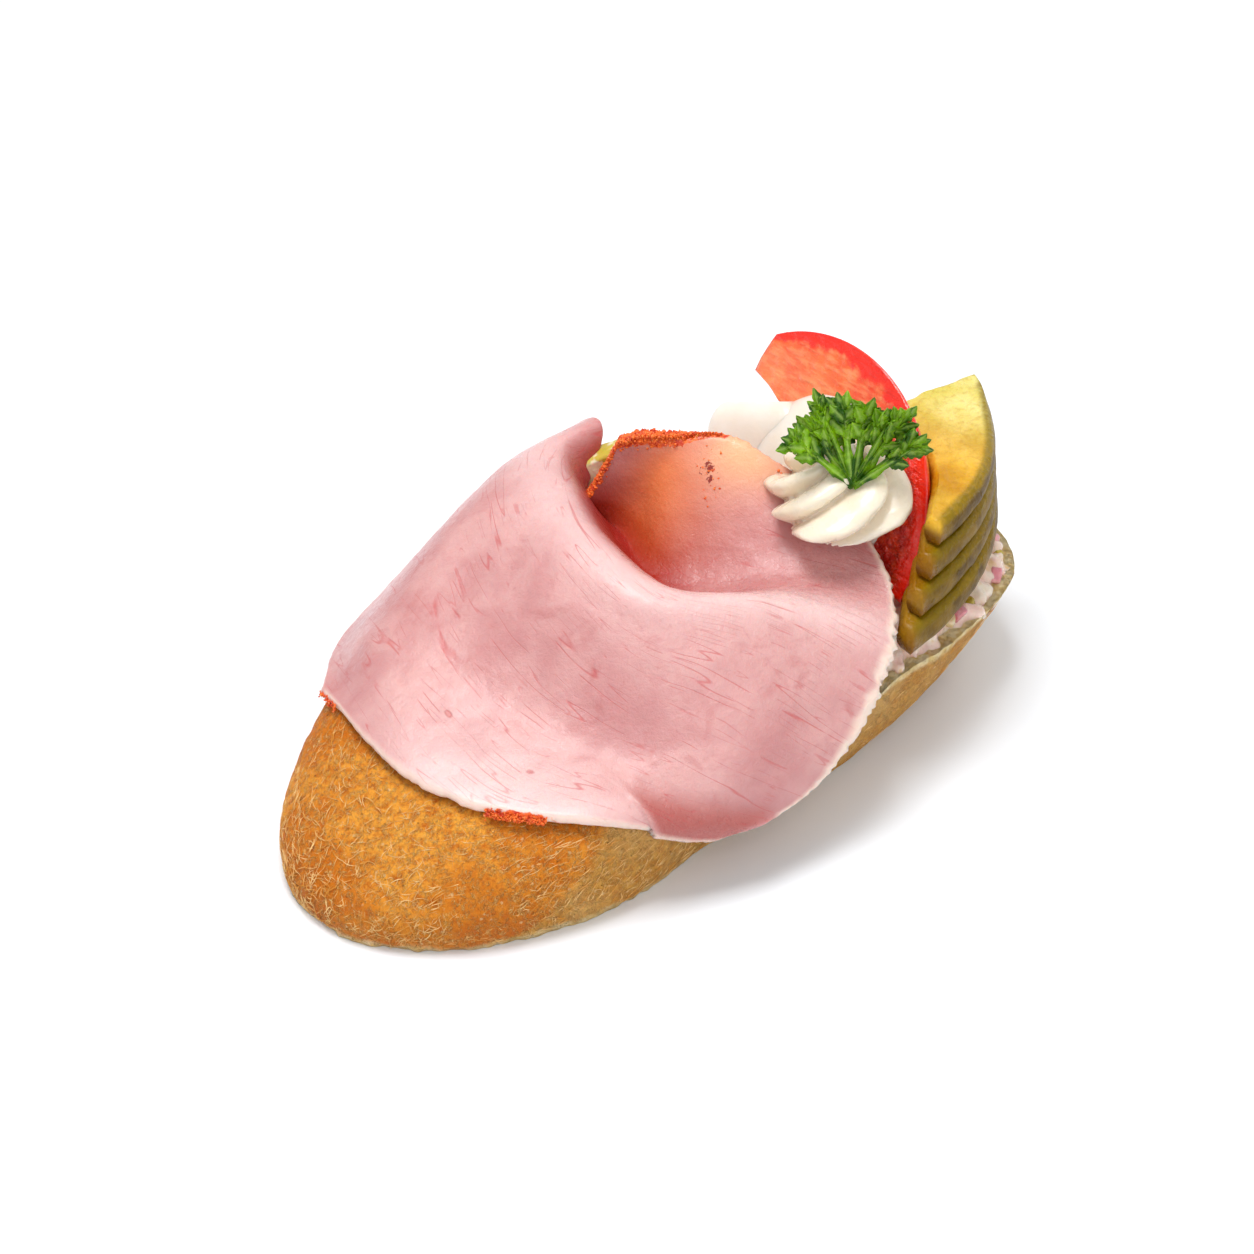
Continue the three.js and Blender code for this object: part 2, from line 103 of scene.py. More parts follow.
def soft_light(name, place, size, power, tone):
    """A square studio light that points at the food."""
    lamp = bpy.data.lights.new(name, "AREA")
    lamp.size = size
    lamp.energy = power
    lamp.color = tone
    aim(bpy.data.objects.new(name, lamp), Vector(place), LOOK_AT)


for light in LIGHTS:
    soft_light(*light)

sky = bpy.data.worlds.new("studio_sky")
sky.use_nodes = True
sky_light = sky.node_tree.nodes["Background"]
sky_light.inputs["Color"].default_value = WHITE
sky_light.inputs["Strength"].default_value = SKY_STRENGTH
bpy.context.scene.world = sky
bpy.context.scene.view_settings.view_transform = "Standard"
print("camera looks down at", round(math.degrees(CAMERA_ELEVATION)), "degrees")
print("lights:", ", ".join(name for name, *_ in LIGHTS))

# %% [markdown]
# ## A small kit for finishes
# Every food here gets a node material. Writing a node tree by hand is long, so this class
# adds one node per call and hands back its output. All patterns are placed in millimetres
# on the object itself, so a scale of 0.5 means one blob every two millimetres.

# %% Finish kit
MIX_A, MIX_B, MIX_RESULT = 6, 7, 2  # the colour sockets of a mix node
MIDDLE = 0.5  # noise swings about this value
FLOOR_SIZE = 3.0


def tint(code):
    """Linear colour from a six-digit web colour, by the standard screen curve."""
    parts = [int(code[i : i + 2], 16) / 255 for i in (0, 2, 4)]
    lit = [c / 12.92 if c <= 0.04045 else ((c + 0.055) / 1.055) ** 2.4 for c in parts]
    return (*lit, 1.0)


class Finish:
    """A node material in the making: each method adds a node and returns its output."""

    def __init__(self, name, **sockets):
        self.material = bpy.data.materials.new(name)
        self.material.use_nodes = True
        self.tree = self.material.node_tree
        self.shader = self.tree.nodes["Principled BSDF"]
        for socket, value in sockets.items():
            self.shader.inputs[socket.replace("_", " ")].default_value = value
        place = self.node("ShaderNodeTexCoord").outputs["Object"]
        self.mm = self.stretched(place, (1 / MM, 1 / MM, 1 / MM))

    def node(self, kind, **settings):
        made = self.tree.nodes.new(kind)
        for key, value in settings.items():
            setattr(made, key, value)
        return made

    def feed(self, socket, value):
        if isinstance(value, bpy.types.NodeSocket):
            self.tree.links.new(value, socket)
        else:
            socket.default_value = value

    def stretched(self, vector, factors):
        made = self.node("ShaderNodeVectorMath", operation="MULTIPLY")
        self.feed(made.inputs[0], vector)
        made.inputs[1].default_value = factors
        return made.outputs[0]

    def bent(self, vector, amount, scale):
        """The same coordinates, pushed about by up to that many millimetres."""
        push = self.node("ShaderNodeTexNoise")
        self.feed(push.inputs["Vector"], vector)
        push.inputs["Scale"].default_value = scale
        centred = self.node("ShaderNodeVectorMath", operation="SUBTRACT")
        self.feed(centred.inputs[0], push.outputs["Color"])
        centred.inputs[1].default_value = (MIDDLE, MIDDLE, MIDDLE)
        scaled = self.stretched(centred.outputs[0], (amount, amount, amount))
        total = self.node("ShaderNodeVectorMath", operation="ADD")
        self.feed(total.inputs[0], vector)
        self.feed(total.inputs[1], scaled)
        return total.outputs[0]

    def noise(self, scale, detail=2.0, rough=0.5, twist=0.0, at=None):
        made = self.node("ShaderNodeTexNoise")
        self.feed(made.inputs["Vector"], self.mm if at is None else at)
        made.inputs["Scale"].default_value = scale
        made.inputs["Detail"].default_value = detail
        made.inputs["Roughness"].default_value = rough
        made.inputs["Distortion"].default_value = twist
        return made.outputs["Fac"]

    def cells(self, scale, at=None):
        """Distance to the nearest of many scattered spots."""
        made = self.node("ShaderNodeTexVoronoi")
        self.feed(made.inputs["Vector"], self.mm if at is None else at)
        made.inputs["Scale"].default_value = scale
        return made.outputs["Distance"]

    def math(self, operation, a, b=0.0):
        made = self.node("ShaderNodeMath", operation=operation)
        self.feed(made.inputs[0], a)
        self.feed(made.inputs[1], b)
        return made.outputs[0]

    def between(self, value, low, high, start=0.0, end=1.0):
        """Rises smoothly from start to end as the value goes from low to high."""
        made = self.node("ShaderNodeMapRange", interpolation_type="SMOOTHSTEP")
        self.feed(made.inputs["Value"], value)
        made.inputs["From Min"].default_value = low
        made.inputs["From Max"].default_value = high
        made.inputs["To Min"].default_value = start
        made.inputs["To Max"].default_value = end
        return made.outputs["Result"]

    def threads(self, scale, width, twist=0.0, at=None):
        """Thin curved lines, where a smooth noise crosses its middle value."""
        field = self.noise(scale, detail=1.0, twist=twist, at=at)
        off = self.math("ABSOLUTE", self.math("SUBTRACT", field, MIDDLE))
        return self.between(off, 0.0, width, 1.0, 0.0)

    def mask(self, name):
        return self.node("ShaderNodeAttribute", attribute_name=name).outputs["Fac"]

    def blend(self, amount, a, b):
        made = self.node("ShaderNodeMix", data_type="RGBA")
        self.feed(made.inputs["Factor"], amount)
        self.feed(made.inputs[MIX_A], a)
        self.feed(made.inputs[MIX_B], b)
        return made.outputs[MIX_RESULT]

    def two_tone(self, value, low, high, dark, light):
        """Goes from one web colour to another as the value goes from low to high."""
        return self.blend(self.between(value, low, high), tint(dark), tint(light))

    def bump(self, height, depth_mm, under=None):
        made = self.node("ShaderNodeBump")
        self.feed(made.inputs["Height"], height)
        made.inputs["Strength"].default_value = 1.0
        made.inputs["Distance"].default_value = depth_mm * MM
        if under is not None:
            self.feed(made.inputs["Normal"], under)
        return made.outputs["Normal"]

    def finish(self, colour, roughness=None, normal=None):
        """Joins the last links and hands back the material."""
        self.feed(self.shader.inputs["Base Color"], colour)
        if roughness is not None:
            self.feed(self.shader.inputs["Roughness"], roughness)
        if normal is not None:
            self.feed(self.shader.inputs["Normal"], normal)
        print(self.material.name, "is made of", len(self.tree.nodes), "nodes")
        return self.material


def table_finish():
    """Plain pale board, with a breath of tone so that it isn't one flat value."""
    f = Finish("pale_floor", Roughness=0.9, Specular_IOR_Level=0.1)
    tone = f.blend(f.noise(0.01), tint("f2f7fd"), tint("f5f9fe"))
    return f.finish(tone)


floor_mesh = bpy.data.meshes.new("floor")
half = FLOOR_SIZE / 2
floor_corners = [(-half, -half, 0), (half, -half, 0), (half, half, 0), (-half, half, 0)]
floor_mesh.from_pydata(floor_corners, [], [(0, 1, 2, 3)])
floor_mesh.materials.append(table_finish())
floor = bpy.data.objects.new("floor", floor_mesh)
bpy.context.scene.collection.objects.link(floor)
print("floor is", FLOOR_SIZE, "m across")

# %% [markdown]
# ## A small kit for shapes
# Most pieces are grids of points bent into a form, closed into a solid, and roughened
# with smooth random lumps. The lumps come from a table of random values that is blended
# between its corners, which is what a noise texture does, but in real geometry.

# %% Shape kit
LUMP_TABLE = 32  # random values along each side of the table, which then repeats


def step(low, high, x):
    """0 below low, 1 above high, and a smooth rise between."""
    t = np.clip((np.asarray(x, float) - low) / (high - low), 0, 1)
    return t * t * (3 - 2 * t)


def mix(a, b, t):
    """From a to b as t goes from 0 to 1."""
    return a + (b - a) * t


def hump(x, centre, width):
    """1 at the centre, fading out over about the width on both sides."""
    return np.exp(-(((x - centre) / width) ** 2))


def lumps(points, size, seed):
    """Smooth random value from -1 to 1 at each point, in blobs of the given size."""
    table = np.random.default_rng(seed).uniform(-1, 1, (LUMP_TABLE, LUMP_TABLE, LUMP_TABLE))
    at = np.asarray(points, float) / size
    low = np.floor(at).astype(int)
    part = at - low
    part = part * part * (3 - 2 * part)
    total = np.zeros(at.shape[:-1])
    for corner in itertools.product((0, 1), repeat=3):
        share = np.prod(np.where(corner, part, 1 - part), axis=-1)
        i, j, k = np.moveaxis((low + corner) % LUMP_TABLE, -1, 0)
        total += share * table[i, j, k]
    return total


def layered_lumps(points, layers):
    """Lumps of several sizes added up; each layer is its height, its size and its seed."""
    return sum(height * lumps(points, size, seed) for height, size, seed in layers)


def unit(vector):
    return vector / np.linalg.norm(vector)


def smooth_line(stations, t):
    """Points at t, from 0 to 1 and a little beyond, on a smooth line through stations."""
    stations = np.asarray(stations, float)
    last = len(stations) - 1
    before = 2 * stations[:1] - stations[1:2]
    after = 2 * stations[-1:] - stations[-2:-1]
    padded = np.concatenate([before, stations, after])
    at = np.asarray(t, float) * last
    i = np.clip(np.floor(at).astype(int), 0, last - 1)
    f = (at - i).reshape(at.shape + (1,) * (stations.ndim - 1))
    p0, p1, p2, p3 = (padded[i + k] for k in range(4))
    bend = 2 * p0 - 5 * p1 + 4 * p2 - p3
    twist = 3 * p1 - p0 - 3 * p2 + p3
    return 0.5 * (2 * p1 + (p2 - p0) * f + bend * f**2 + twist * f**3)


def grid_faces(rows, columns, wrapped=False, start=0):
    """Four-sided faces between the points of a grid that is stored row by row."""
    across = columns if wrapped else columns - 1
    i, j = np.meshgrid(np.arange(rows - 1), np.arange(across), indexing="ij")
    a = start + i * columns + j
    b = start + i * columns + (j + 1) % columns
    return np.stack([a, b, b + columns, a + columns], -1).reshape(-1, 4).tolist()


def grid_normals(grid, wrapped=False):
    """Unit normals of a grid of points, from its own slopes."""
    if wrapped:
        along = np.roll(grid, -1, 1) - np.roll(grid, 1, 1)
    else:
        along = np.gradient(grid, axis=1)
    normal = np.cross(along, np.gradient(grid, axis=0))
    return normal / np.maximum(np.linalg.norm(normal, axis=-1, keepdims=True), 1e-9)


def tube(rings):
    """Closed solid through rings of points: an array of rings x points x 3."""
    rows, columns = rings.shape[:2]
    points = np.concatenate([rings.reshape(-1, 3), [rings[0].mean(0), rings[-1].mean(0)]])
    faces = grid_faces(rows, columns, wrapped=True)
    for first, hub in ((0, rows * columns), ((rows - 1) * columns, rows * columns + 1)):
        faces += [[first + i, first + (i + 1) % columns, hub] for i in range(columns)]
    return points, faces


def gather(parts):
    """Many small solids as one mesh."""
    points, faces, start = [], [], 0
    for some_points, some_faces in parts:
        points.append(some_points)
        faces += [[start + i for i in face] for face in some_faces]
        start += len(some_points)
    return np.concatenate(points), faces


def make_piece(name, shape, finish, stands_for=(), masks=None):
    """Turns points in millimetres and faces into a piece that belongs to the sandwich."""
    points, faces = shape
    mesh = bpy.data.meshes.new(name)
    mesh.from_pydata((np.asarray(points) * MM).tolist(), [], faces)
    shell = bmesh.new()
    shell.from_mesh(mesh)
    bmesh.ops.recalc_face_normals(shell, faces=shell.faces[:])
    shell.to_mesh(mesh)
    shell.free()
    mesh.shade_smooth()
    for mask, values in (masks or {}).items():
        attribute = mesh.attributes.new(mask, "FLOAT", "POINT")
        attribute.data.foreach_set("value", np.asarray(values, np.float32).ravel())
    mesh.materials.append(finish)
    piece = bpy.data.objects.new(name, mesh)
    bpy.context.scene.collection.objects.link(piece)
    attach(piece, "root")
    for node in stands_for:
        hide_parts(node)
    size = np.ptp(points, axis=0)
    print(name, "is", " x ".join(f"{s:.1f}" for s in size), "mm,", len(faces), "faces")
    return piece


def fused(name, parts, voxel, rounds):
    """Solids melted into one soft form: a voxel remesh, then a few smoothing rounds."""
    points, faces = gather(parts)
    mesh = bpy.data.meshes.new(name)
    mesh.from_pydata(points.tolist(), [], faces)
    lump = bpy.data.objects.new(name, mesh)
    bpy.context.scene.collection.objects.link(lump)
    remesh = lump.modifiers.new("melt", "REMESH")
    remesh.mode = "VOXEL"
    remesh.voxel_size = voxel
    relax = lump.modifiers.new("relax", "SMOOTH")
    relax.factor = 0.5
    relax.iterations = rounds
    bpy.context.view_layer.update()
    melted = lump.evaluated_get(bpy.context.evaluated_depsgraph_get()).to_mesh()
    soft_points = np.array([v.co for v in melted.vertices])
    soft_faces = [list(p.vertices) for p in melted.polygons]
    bpy.data.objects.remove(lump)
    return soft_points, soft_faces


# %% [markdown]
# ## Bread
# A slice cut on the slant from a soft white roll: it keeps the roll's domed heel, its
# golden crust round the sides and a pale, barely browned underside turned to one side.
# The crust is a stack of rings between the flat foot and the cut top. It could be carved
# from a noisy ball, but rings keep the exact outline that the frame was built on. Bulges
# and pits are real shape. Only the finest roughness and the mottled browns are left to the
# finish, which reads three masks: pale side, open crumb and a darker foot that is painted
# shade.

# %% Crust finish


def crust_finish():
    """Golden crust: mottled browns, fine pale fibres, light flecks, dark pores."""
    f = Finish("crust", Roughness=0.62, Specular_IOR_Level=0.2, Subsurface_Weight=0.06)
    f.shader.inputs["Subsurface Scale"].default_value = 1.5 * MM
    pale_side = f.mask("pale_side")
    crumb = f.mask("crumb")
    foot = f.mask("foot")
    broad = f.noise(0.055, detail=3.0)
    mottle = f.noise(0.8, detail=6.0, rough=0.7)
    golden = f.two_tone(broad, 0.4, 0.6, "de7e16", "f9aa3c")
    # painted shade: the crust darkens towards the foot, which the light from above reaches less
    golden = f.blend(f.between(foot, 0.0, 1.0, 0.0, 0.55), golden, tint("c0600e"))
    golden = f.blend(f.between(mottle, 0.3, 0.6), tint("c86606"), golden)
    tan = f.two_tone(mottle, 0.35, 0.65, "bc7824", "dba048")
    tan = f.blend(f.between(broad, 0.4, 0.7, 0.0, 0.5), tan, tint("e6bf7c"))
    base = f.blend(pale_side, golden, tan)
    warped = f.bent(f.mm, 2.4, 0.5)
    hairs = f.threads(0.95, 0.05, twist=1.2, at=warped)
    fine = f.threads(1.9, 0.06, twist=0.8)
    broken = f.between(f.noise(1.1, detail=2.0), 0.4, 0.62)
    hairs = f.math("MULTIPLY", f.math("MAXIMUM", hairs, f.math("MULTIPLY", fine, 0.6)), broken)
    base = f.blend(f.math("MULTIPLY", hairs, 0.75), base, tint("fac878"))
    fleck = f.cells(0.8)
    size = f.noise(0.9, detail=1.0)
    spot = f.between(fleck, 0.12, 0.26, 1.0, 0.0)
    spot = f.math("MULTIPLY", spot, f.between(size, 0.52, 0.6))
    base = f.blend(f.math("MULTIPLY", spot, 0.5), base, tint("f6d7a0"))
    pore = f.cells(0.85)
    dark = f.between(pore, 0.05, 0.16, 1.0, 0.0)
    dark = f.math("MULTIPLY", dark, f.between(f.noise(1.3), 0.5, 0.6))
    base = f.blend(f.math("MULTIPLY", dark, 0.45), base, tint("8a4a0c"))
    soft = f.two_tone(f.noise(0.7, detail=4.0), 0.4, 0.6, "eccb86", "fae3b0")
    base = f.blend(crumb, base, soft)
    height = f.math("ADD", f.math("MULTIPLY", hairs, 0.6), mottle)
    height = f.math("SUBTRACT", height, f.math("MULTIPLY", dark, 0.7))
    grain = f.noise(2.4, detail=4.0, rough=0.7)
    normal = f.bump(grain, 0.3, under=f.bump(height, 0.5))
    rough = f.between(mottle, 0.3, 0.7, 0.5, 0.75)
    return f.finish(base, rough, normal)


# %% Bread shape
FOOT_CORNER, TOP_CORNER = (np.array(c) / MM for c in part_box("bread"))
BREAD_HEIGHT = TOP_CORNER[2] - FOOT_CORNER[2]
TOP_FACE = dict(x=17, y=0.8, a=43, b=36, power=2.6, far=-10, near=3)
FOOTPRINT = dict(x=-3, y=2.8, a=59, b=32, power=2.08, far=-8, near=2.5)
FOOT_ROUNDING = 1.6
NOTCH = dict(x=-15, depth=2.4, width=9)
BREAD_GRID = dict(around=620, up=52, inward=10, sole=6)
CRUST_LUMPS = ((0.3, 7, 1), (0.14, 2.2, 2), (0.09, 0.9, 3))
PALE_LINE = dict(x=-47, slope=1.1)  # where the brown heel ends and the pale side begins


def oblong(shape, angle):
    """Point on a rounded oblong whose two ends are pushed sideways."""
    c, s = np.cos(angle), np.sin(angle)
    x = shape["x"] + shape["a"] * np.sign(c) * np.abs(c) ** (2 / shape["power"])
    y = shape["y"] + shape["b"] * np.sign(s) * np.abs(s) ** (2 / shape["power"])
    y = y + shape["far"] * np.maximum(c, 0) ** 1.2 + shape["near"] * np.maximum(-c, 0) ** 1.5
    return x, y


def crust_point(angle, rise):
    """Point on the crust: rise goes from 0 at the foot to a quarter turn at the cut top.

    The heel is domed, and the other sides lean outwards as they rise to the cut face.
    """
    heel_share = 1 / (1 + np.exp((np.cos(angle) + 0.25) * 9))
    share = mix(np.sin(rise) ** 0.75, 1 - np.cos(rise), heel_share)
    low, high = oblong(FOOTPRINT, angle), oblong(TOP_FACE, angle)
    tuck = FOOT_ROUNDING * (1 - np.sin(np.minimum(4 * rise, math.pi / 2)))
    x = mix(low[0], high[0], share) - tuck * np.cos(angle)
    y = mix(low[1], high[1], share) - tuck * np.sin(angle)
    dip = NOTCH["depth"] * hump(x, NOTCH["x"], NOTCH["width"]) * (1 - share)
    y = y + np.where(np.sin(angle) < 0, dip, 0)
    return np.stack([x, y, BREAD_HEIGHT * np.sin(rise)], -1)


def bread_rings():
    """Rings of points from the middle of the sole, up the crust, to the middle of the top."""
    angle, rise = np.meshgrid(
        np.linspace(0, 2 * math.pi, BREAD_GRID["around"], endpoint=False),
        np.linspace(0, math.pi / 2, BREAD_GRID["up"]),
    )
    side = crust_point(angle, rise)
    out = grid_normals(side, wrapped=True)
    ragged = 0.35 * lumps(side, 1.3, 4) * step(2.2, 0.2, side[..., 2])
    moved = side + out * (layered_lumps(side, CRUST_LUMPS) + ragged)[..., None]
    moved[..., 2] = np.clip(moved[..., 2], 0, BREAD_HEIGHT + 0.3)
    moved[0, :, 2] = 0
    top = []
    for k in range(1, BREAD_GRID["inward"]):
        ring = mix(moved[-1], moved[-1].mean(0), k / BREAD_GRID["inward"])
        ring[:, 2] = BREAD_HEIGHT + 0.25 * lumps(ring, 1.6, 5)
        top.append(ring)
    steps = BREAD_GRID["sole"]
    sole = [mix(moved[0], moved[0].mean(0), k / steps) for k in range(steps - 1, 0, -1)]
    return np.concatenate([np.array(sole), moved, np.array(top)])


def make_bread():
    """The loaf slice, with masks for its pale side, its open crumb and its foot, darkened as
    painted shade.
    """
    points, faces = tube(bread_rings())
    x, y, z = points.T
    line = PALE_LINE["x"] + PALE_LINE["slope"] * z + 1.2 * lumps(points, 4, 6)
    pale = step(-1.5, 1.5, x - line) * step(4, -8, y + 0.25 * x * (x < 0))
    back = step(-6, 14, y) * step(10, 30, x) * 0.35
    is_top = np.zeros(len(points))
    side_rings = BREAD_GRID["sole"] - 1 + BREAD_GRID["up"]
    is_top[(side_rings - 1) * BREAD_GRID["around"] : -2] = 1
    is_top[-1] = 1
    low_edge = step(1.5, 0.3, z + 0.7 * lumps(points, 2.5, 7)) * 0.8
    # foot is painted shade: darkest at the bottom and gone about 9 mm up
    foot = step(9, 1, z)
    shoulder = step(-2.0, -0.6, z - BREAD_HEIGHT) * step(-5, 15, x)
    crumb_shows = np.maximum(np.maximum(is_top, low_edge), shoulder)
    masks = dict(pale_side=np.maximum(pale, back), crumb=crumb_shows, foot=foot)
    return make_piece("bread_slice", (points, faces), crust_finish(), ["bread"], masks)


make_bread()

# %% [markdown]
# ## Fibres on the crust
# A floured loaf keeps short pale strands of dried dough on its crust. Painted strands
# vanish in side light, so each one is a real sliver: a thin bent spindle, half sunk into
# the crust and pointing any way along it.

# %% Fibres on the crust
FIBRES = 3700
FIBRE_HALF_LENGTH = (0.4, 1.5)
FIBRE_RADIUS = (0.035, 0.075)
FIBRE_LIFT = 0.14
UNDER_HAM = dict(above=15.2, past=-38)  # the ham lies over this strip of the crust
NEARBY = 0.01  # a small step along the crust, to find which way it faces


def fibre_finish():
    f = Finish("crust_fibre", Roughness=0.6, Specular_IOR_Level=0.2)
    base = f.two_tone(f.noise(0.5, detail=2.0), 0.35, 0.65, "dc963c", "f6cf8c")
    rough = f.between(f.noise(1.2), 0.4, 0.6, 0.5, 0.7)
    return f.finish(base, rough, f.bump(f.noise(2.0, detail=2.0), 0.1))


def sliver(dice, angle, rise):
    """A bent spindle that follows the crust from one point on it."""
    here, ahead, above = crust_point(
        np.array([angle, angle + NEARBY, angle]), np.array([rise, rise, rise + NEARBY])
    )
    along, up = unit(ahead - here), unit(above - here)
    out = np.cross(along, up)
    heading = dice.uniform(0, math.pi)
    way = along * math.cos(heading) + up * math.sin(heading)
    side = np.cross(out, way)
    t = np.linspace(-1, 1, 6)[:, None]
    length, bend = dice.uniform(*FIBRE_HALF_LENGTH), dice.normal() * 0.35
    line = here + way * t * length + side * bend * t**2 - out * (0.05 + 0.03 * (length * t) ** 2)
    line = line + out * FIBRE_LIFT
    fat = dice.uniform(*FIBRE_RADIUS) * (1.02 - t**2)
    turn = np.linspace(0, 2 * math.pi, 4, endpoint=False)
    ring = side * np.cos(turn)[:, None] + out * np.sin(turn)[:, None]
    return tube(line[:, None] + ring[None] * fat[:, :, None])


def crust_slivers(count):
    """Slivers at random places, most of them on the heel and none under the ham."""
    dice = np.random.default_rng(8)
    parts = []
    while len(parts) < count:
        angle, rise = dice.uniform(0, 2 * math.pi), math.asin(dice.uniform(0.05, 0.995))
        place = crust_point(np.array([angle]), np.array([rise]))[0]
        covered = place[2] > UNDER_HAM["above"] and place[0] > UNDER_HAM["past"]
        if covered or dice.uniform() > 0.25 + 0.75 * step(15, -20, place[0]):
            continue
        parts.append(sliver(dice, angle, rise))
    return parts


make_piece("crust_fibres", gather(crust_slivers(FIBRES)), fibre_finish())

# %% [markdown]
# ## Ham
# The slice of cooked ham is one limp sheet: its hem lies on the crust, it climbs to a fold,
# drops into the hollow and rises again to lean on the egg. A cloth simulation would settle
# somewhere else every time, so the sheet is lofted through six listed guide lines,
# then given thickness, a torn and nibbled rim, soft waves and small wet wrinkles.

# %% Ham finish
VEIN_WAY = math.radians(14)  # the veins run at this angle across the slice
VEIN_STRETCH = (0.1, 1.0, 1.0)  # and are drawn out tenfold along it


def ham_veins(f, sheet):
    """Broken lines that run one way across the flat slice, some strong and some weak."""
    grain_way = f.node("ShaderNodeVectorRotate", rotation_type="Z_AXIS")
    f.feed(grain_way.inputs["Vector"], f.bent(sheet, 2.0, 0.05))
    grain_way.inputs["Angle"].default_value = VEIN_WAY
    along = f.stretched(grain_way.outputs["Vector"], VEIN_STRETCH)
    strong = f.threads(0.26, 0.012, at=f.bent(along, 0.5, 0.16))
    weak = f.threads(0.5, 0.016, at=f.bent(along, 0.8, 0.14))
    broken = f.between(f.noise(0.12, detail=3.0, at=sheet), 0.46, 0.56)
    rare = f.between(f.noise(0.2, detail=3.0), 0.48, 0.58, 0.0, 0.7)
    return f.math("MAXIMUM", f.math("MULTIPLY", strong, broken), f.math("MULTIPLY", weak, rare))


def ham_finish():
    """Pink cooked ham: fine darker veins, little pits, a white fat rim, a pale hem and crest that
    are painted highlight, painted deep red shade in the fold and a painted orange glow.
    """
    f = Finish(
        "cooked_ham",
        Subsurface_Weight=0.3,
        Subsurface_Radius=(1.0, 0.32, 0.2),
        Subsurface_Scale=1.6 * MM,
        Specular_IOR_Level=0.5,
        Coat_Weight=0.25,
        Coat_Roughness=0.25,
    )
    pale, fold = f.mask("pale"), f.mask("fold")
    glow, fat, wet = f.mask("glow"), f.mask("fat"), f.mask("wet")
    broad = f.noise(0.06, detail=3.0, rough=0.6)
    patch = f.noise(0.22, detail=4.0, rough=0.6, twist=0.6)
    grain = f.noise(1.1, detail=5.0, rough=0.65)
    base = f.two_tone(broad, 0.36, 0.64, "c98c8b", "d9a5a2")
    base = f.blend(f.between(patch, 0.5, 0.75, 0.0, 0.55), base, tint("bf7573"))
    base = f.blend(f.between(grain, 0.3, 0.7, 0.16, 0.0), base, tint("c9747c"))
    # pale is painted highlight: the flat hem catching the top light, a line along the crest and a
    # sheen patch on the wet fold
    base = f.blend(f.math("MULTIPLY", pale, 0.62), base, tint("f8dcda"))
    base = f.blend(f.mask("lobe"), base, tint("b4605a"))
    # fold is painted shade: deep red where the hollow behind the crest lies in shade
    base = f.blend(fold, base, tint("a3201a"))
    # painted glow: orange where light shines through the thin upper flap; the veins fade under it
    base = f.blend(glow, base, tint("f08440"))
    base = f.blend(f.mask("cream"), base, tint("f6c494"))
    charred = f.between(f.math("ADD", f.mask("burnt"), f.noise(1.1, detail=4.0)), 0.98, 1.04)
    base = f.blend(charred, base, tint("8c1c06"))
    sheet = f.node("ShaderNodeAttribute", attribute_name="sheet").outputs["Vector"]
    veins = f.math("MULTIPLY", ham_veins(f, sheet), f.between(glow, 0.04, 0.3, 1.0, 0.0))
    base = f.blend(f.math("MULTIPLY", veins, 0.55), base, tint("c2484a"))
    pit = f.cells(0.085, at=f.stretched(sheet, (0.7, 1.2, 1.0)))
    pits = f.between(pit, 0.03, 0.06, 1.0, 0.0)
    pits = f.math("MULTIPLY", pits, f.between(f.noise(0.11), 0.46, 0.5))
    base = f.blend(f.math("MULTIPLY", pits, 0.6), base, tint("c04a48"))
    base = f.blend(fat, base, tint("f4ddce"))
    spice = f.between(f.math("ADD", f.mask("spice"), f.noise(0.9, detail=4.0)), 0.92, 1.12)
    red = f.two_tone(f.noise(1.2, detail=3.0), 0.35, 0.65, "cc3006", "fb7426")
    base = f.blend(spice, base, red)
    height = f.math("SUBTRACT", grain, f.math("MULTIPLY", veins, 0.2))
    height = f.math("SUBTRACT", height, f.math("MULTIPLY", pits, 0.8))
    skin = f.noise(2.6, detail=3.0, rough=0.6)
    wrinkle = f.threads(0.42, 0.08, twist=0.5, at=f.stretched(sheet, (0.6, 1.0, 1.0)))
    creases = f.math("MULTIPLY", f.math("MULTIPLY", wrinkle, wet), -1.0)
    normal = f.bump(height, 0.16, under=f.bump(creases, 0.015))
    normal = f.bump(skin, 0.06, under=normal)
    sparkle = f.between(grain, 0.42, 0.6, 0.28, 0.5)
    rough = f.math("SUBTRACT", sparkle, f.math("MULTIPLY", wet, 0.12))
    return f.finish(base, rough, normal)


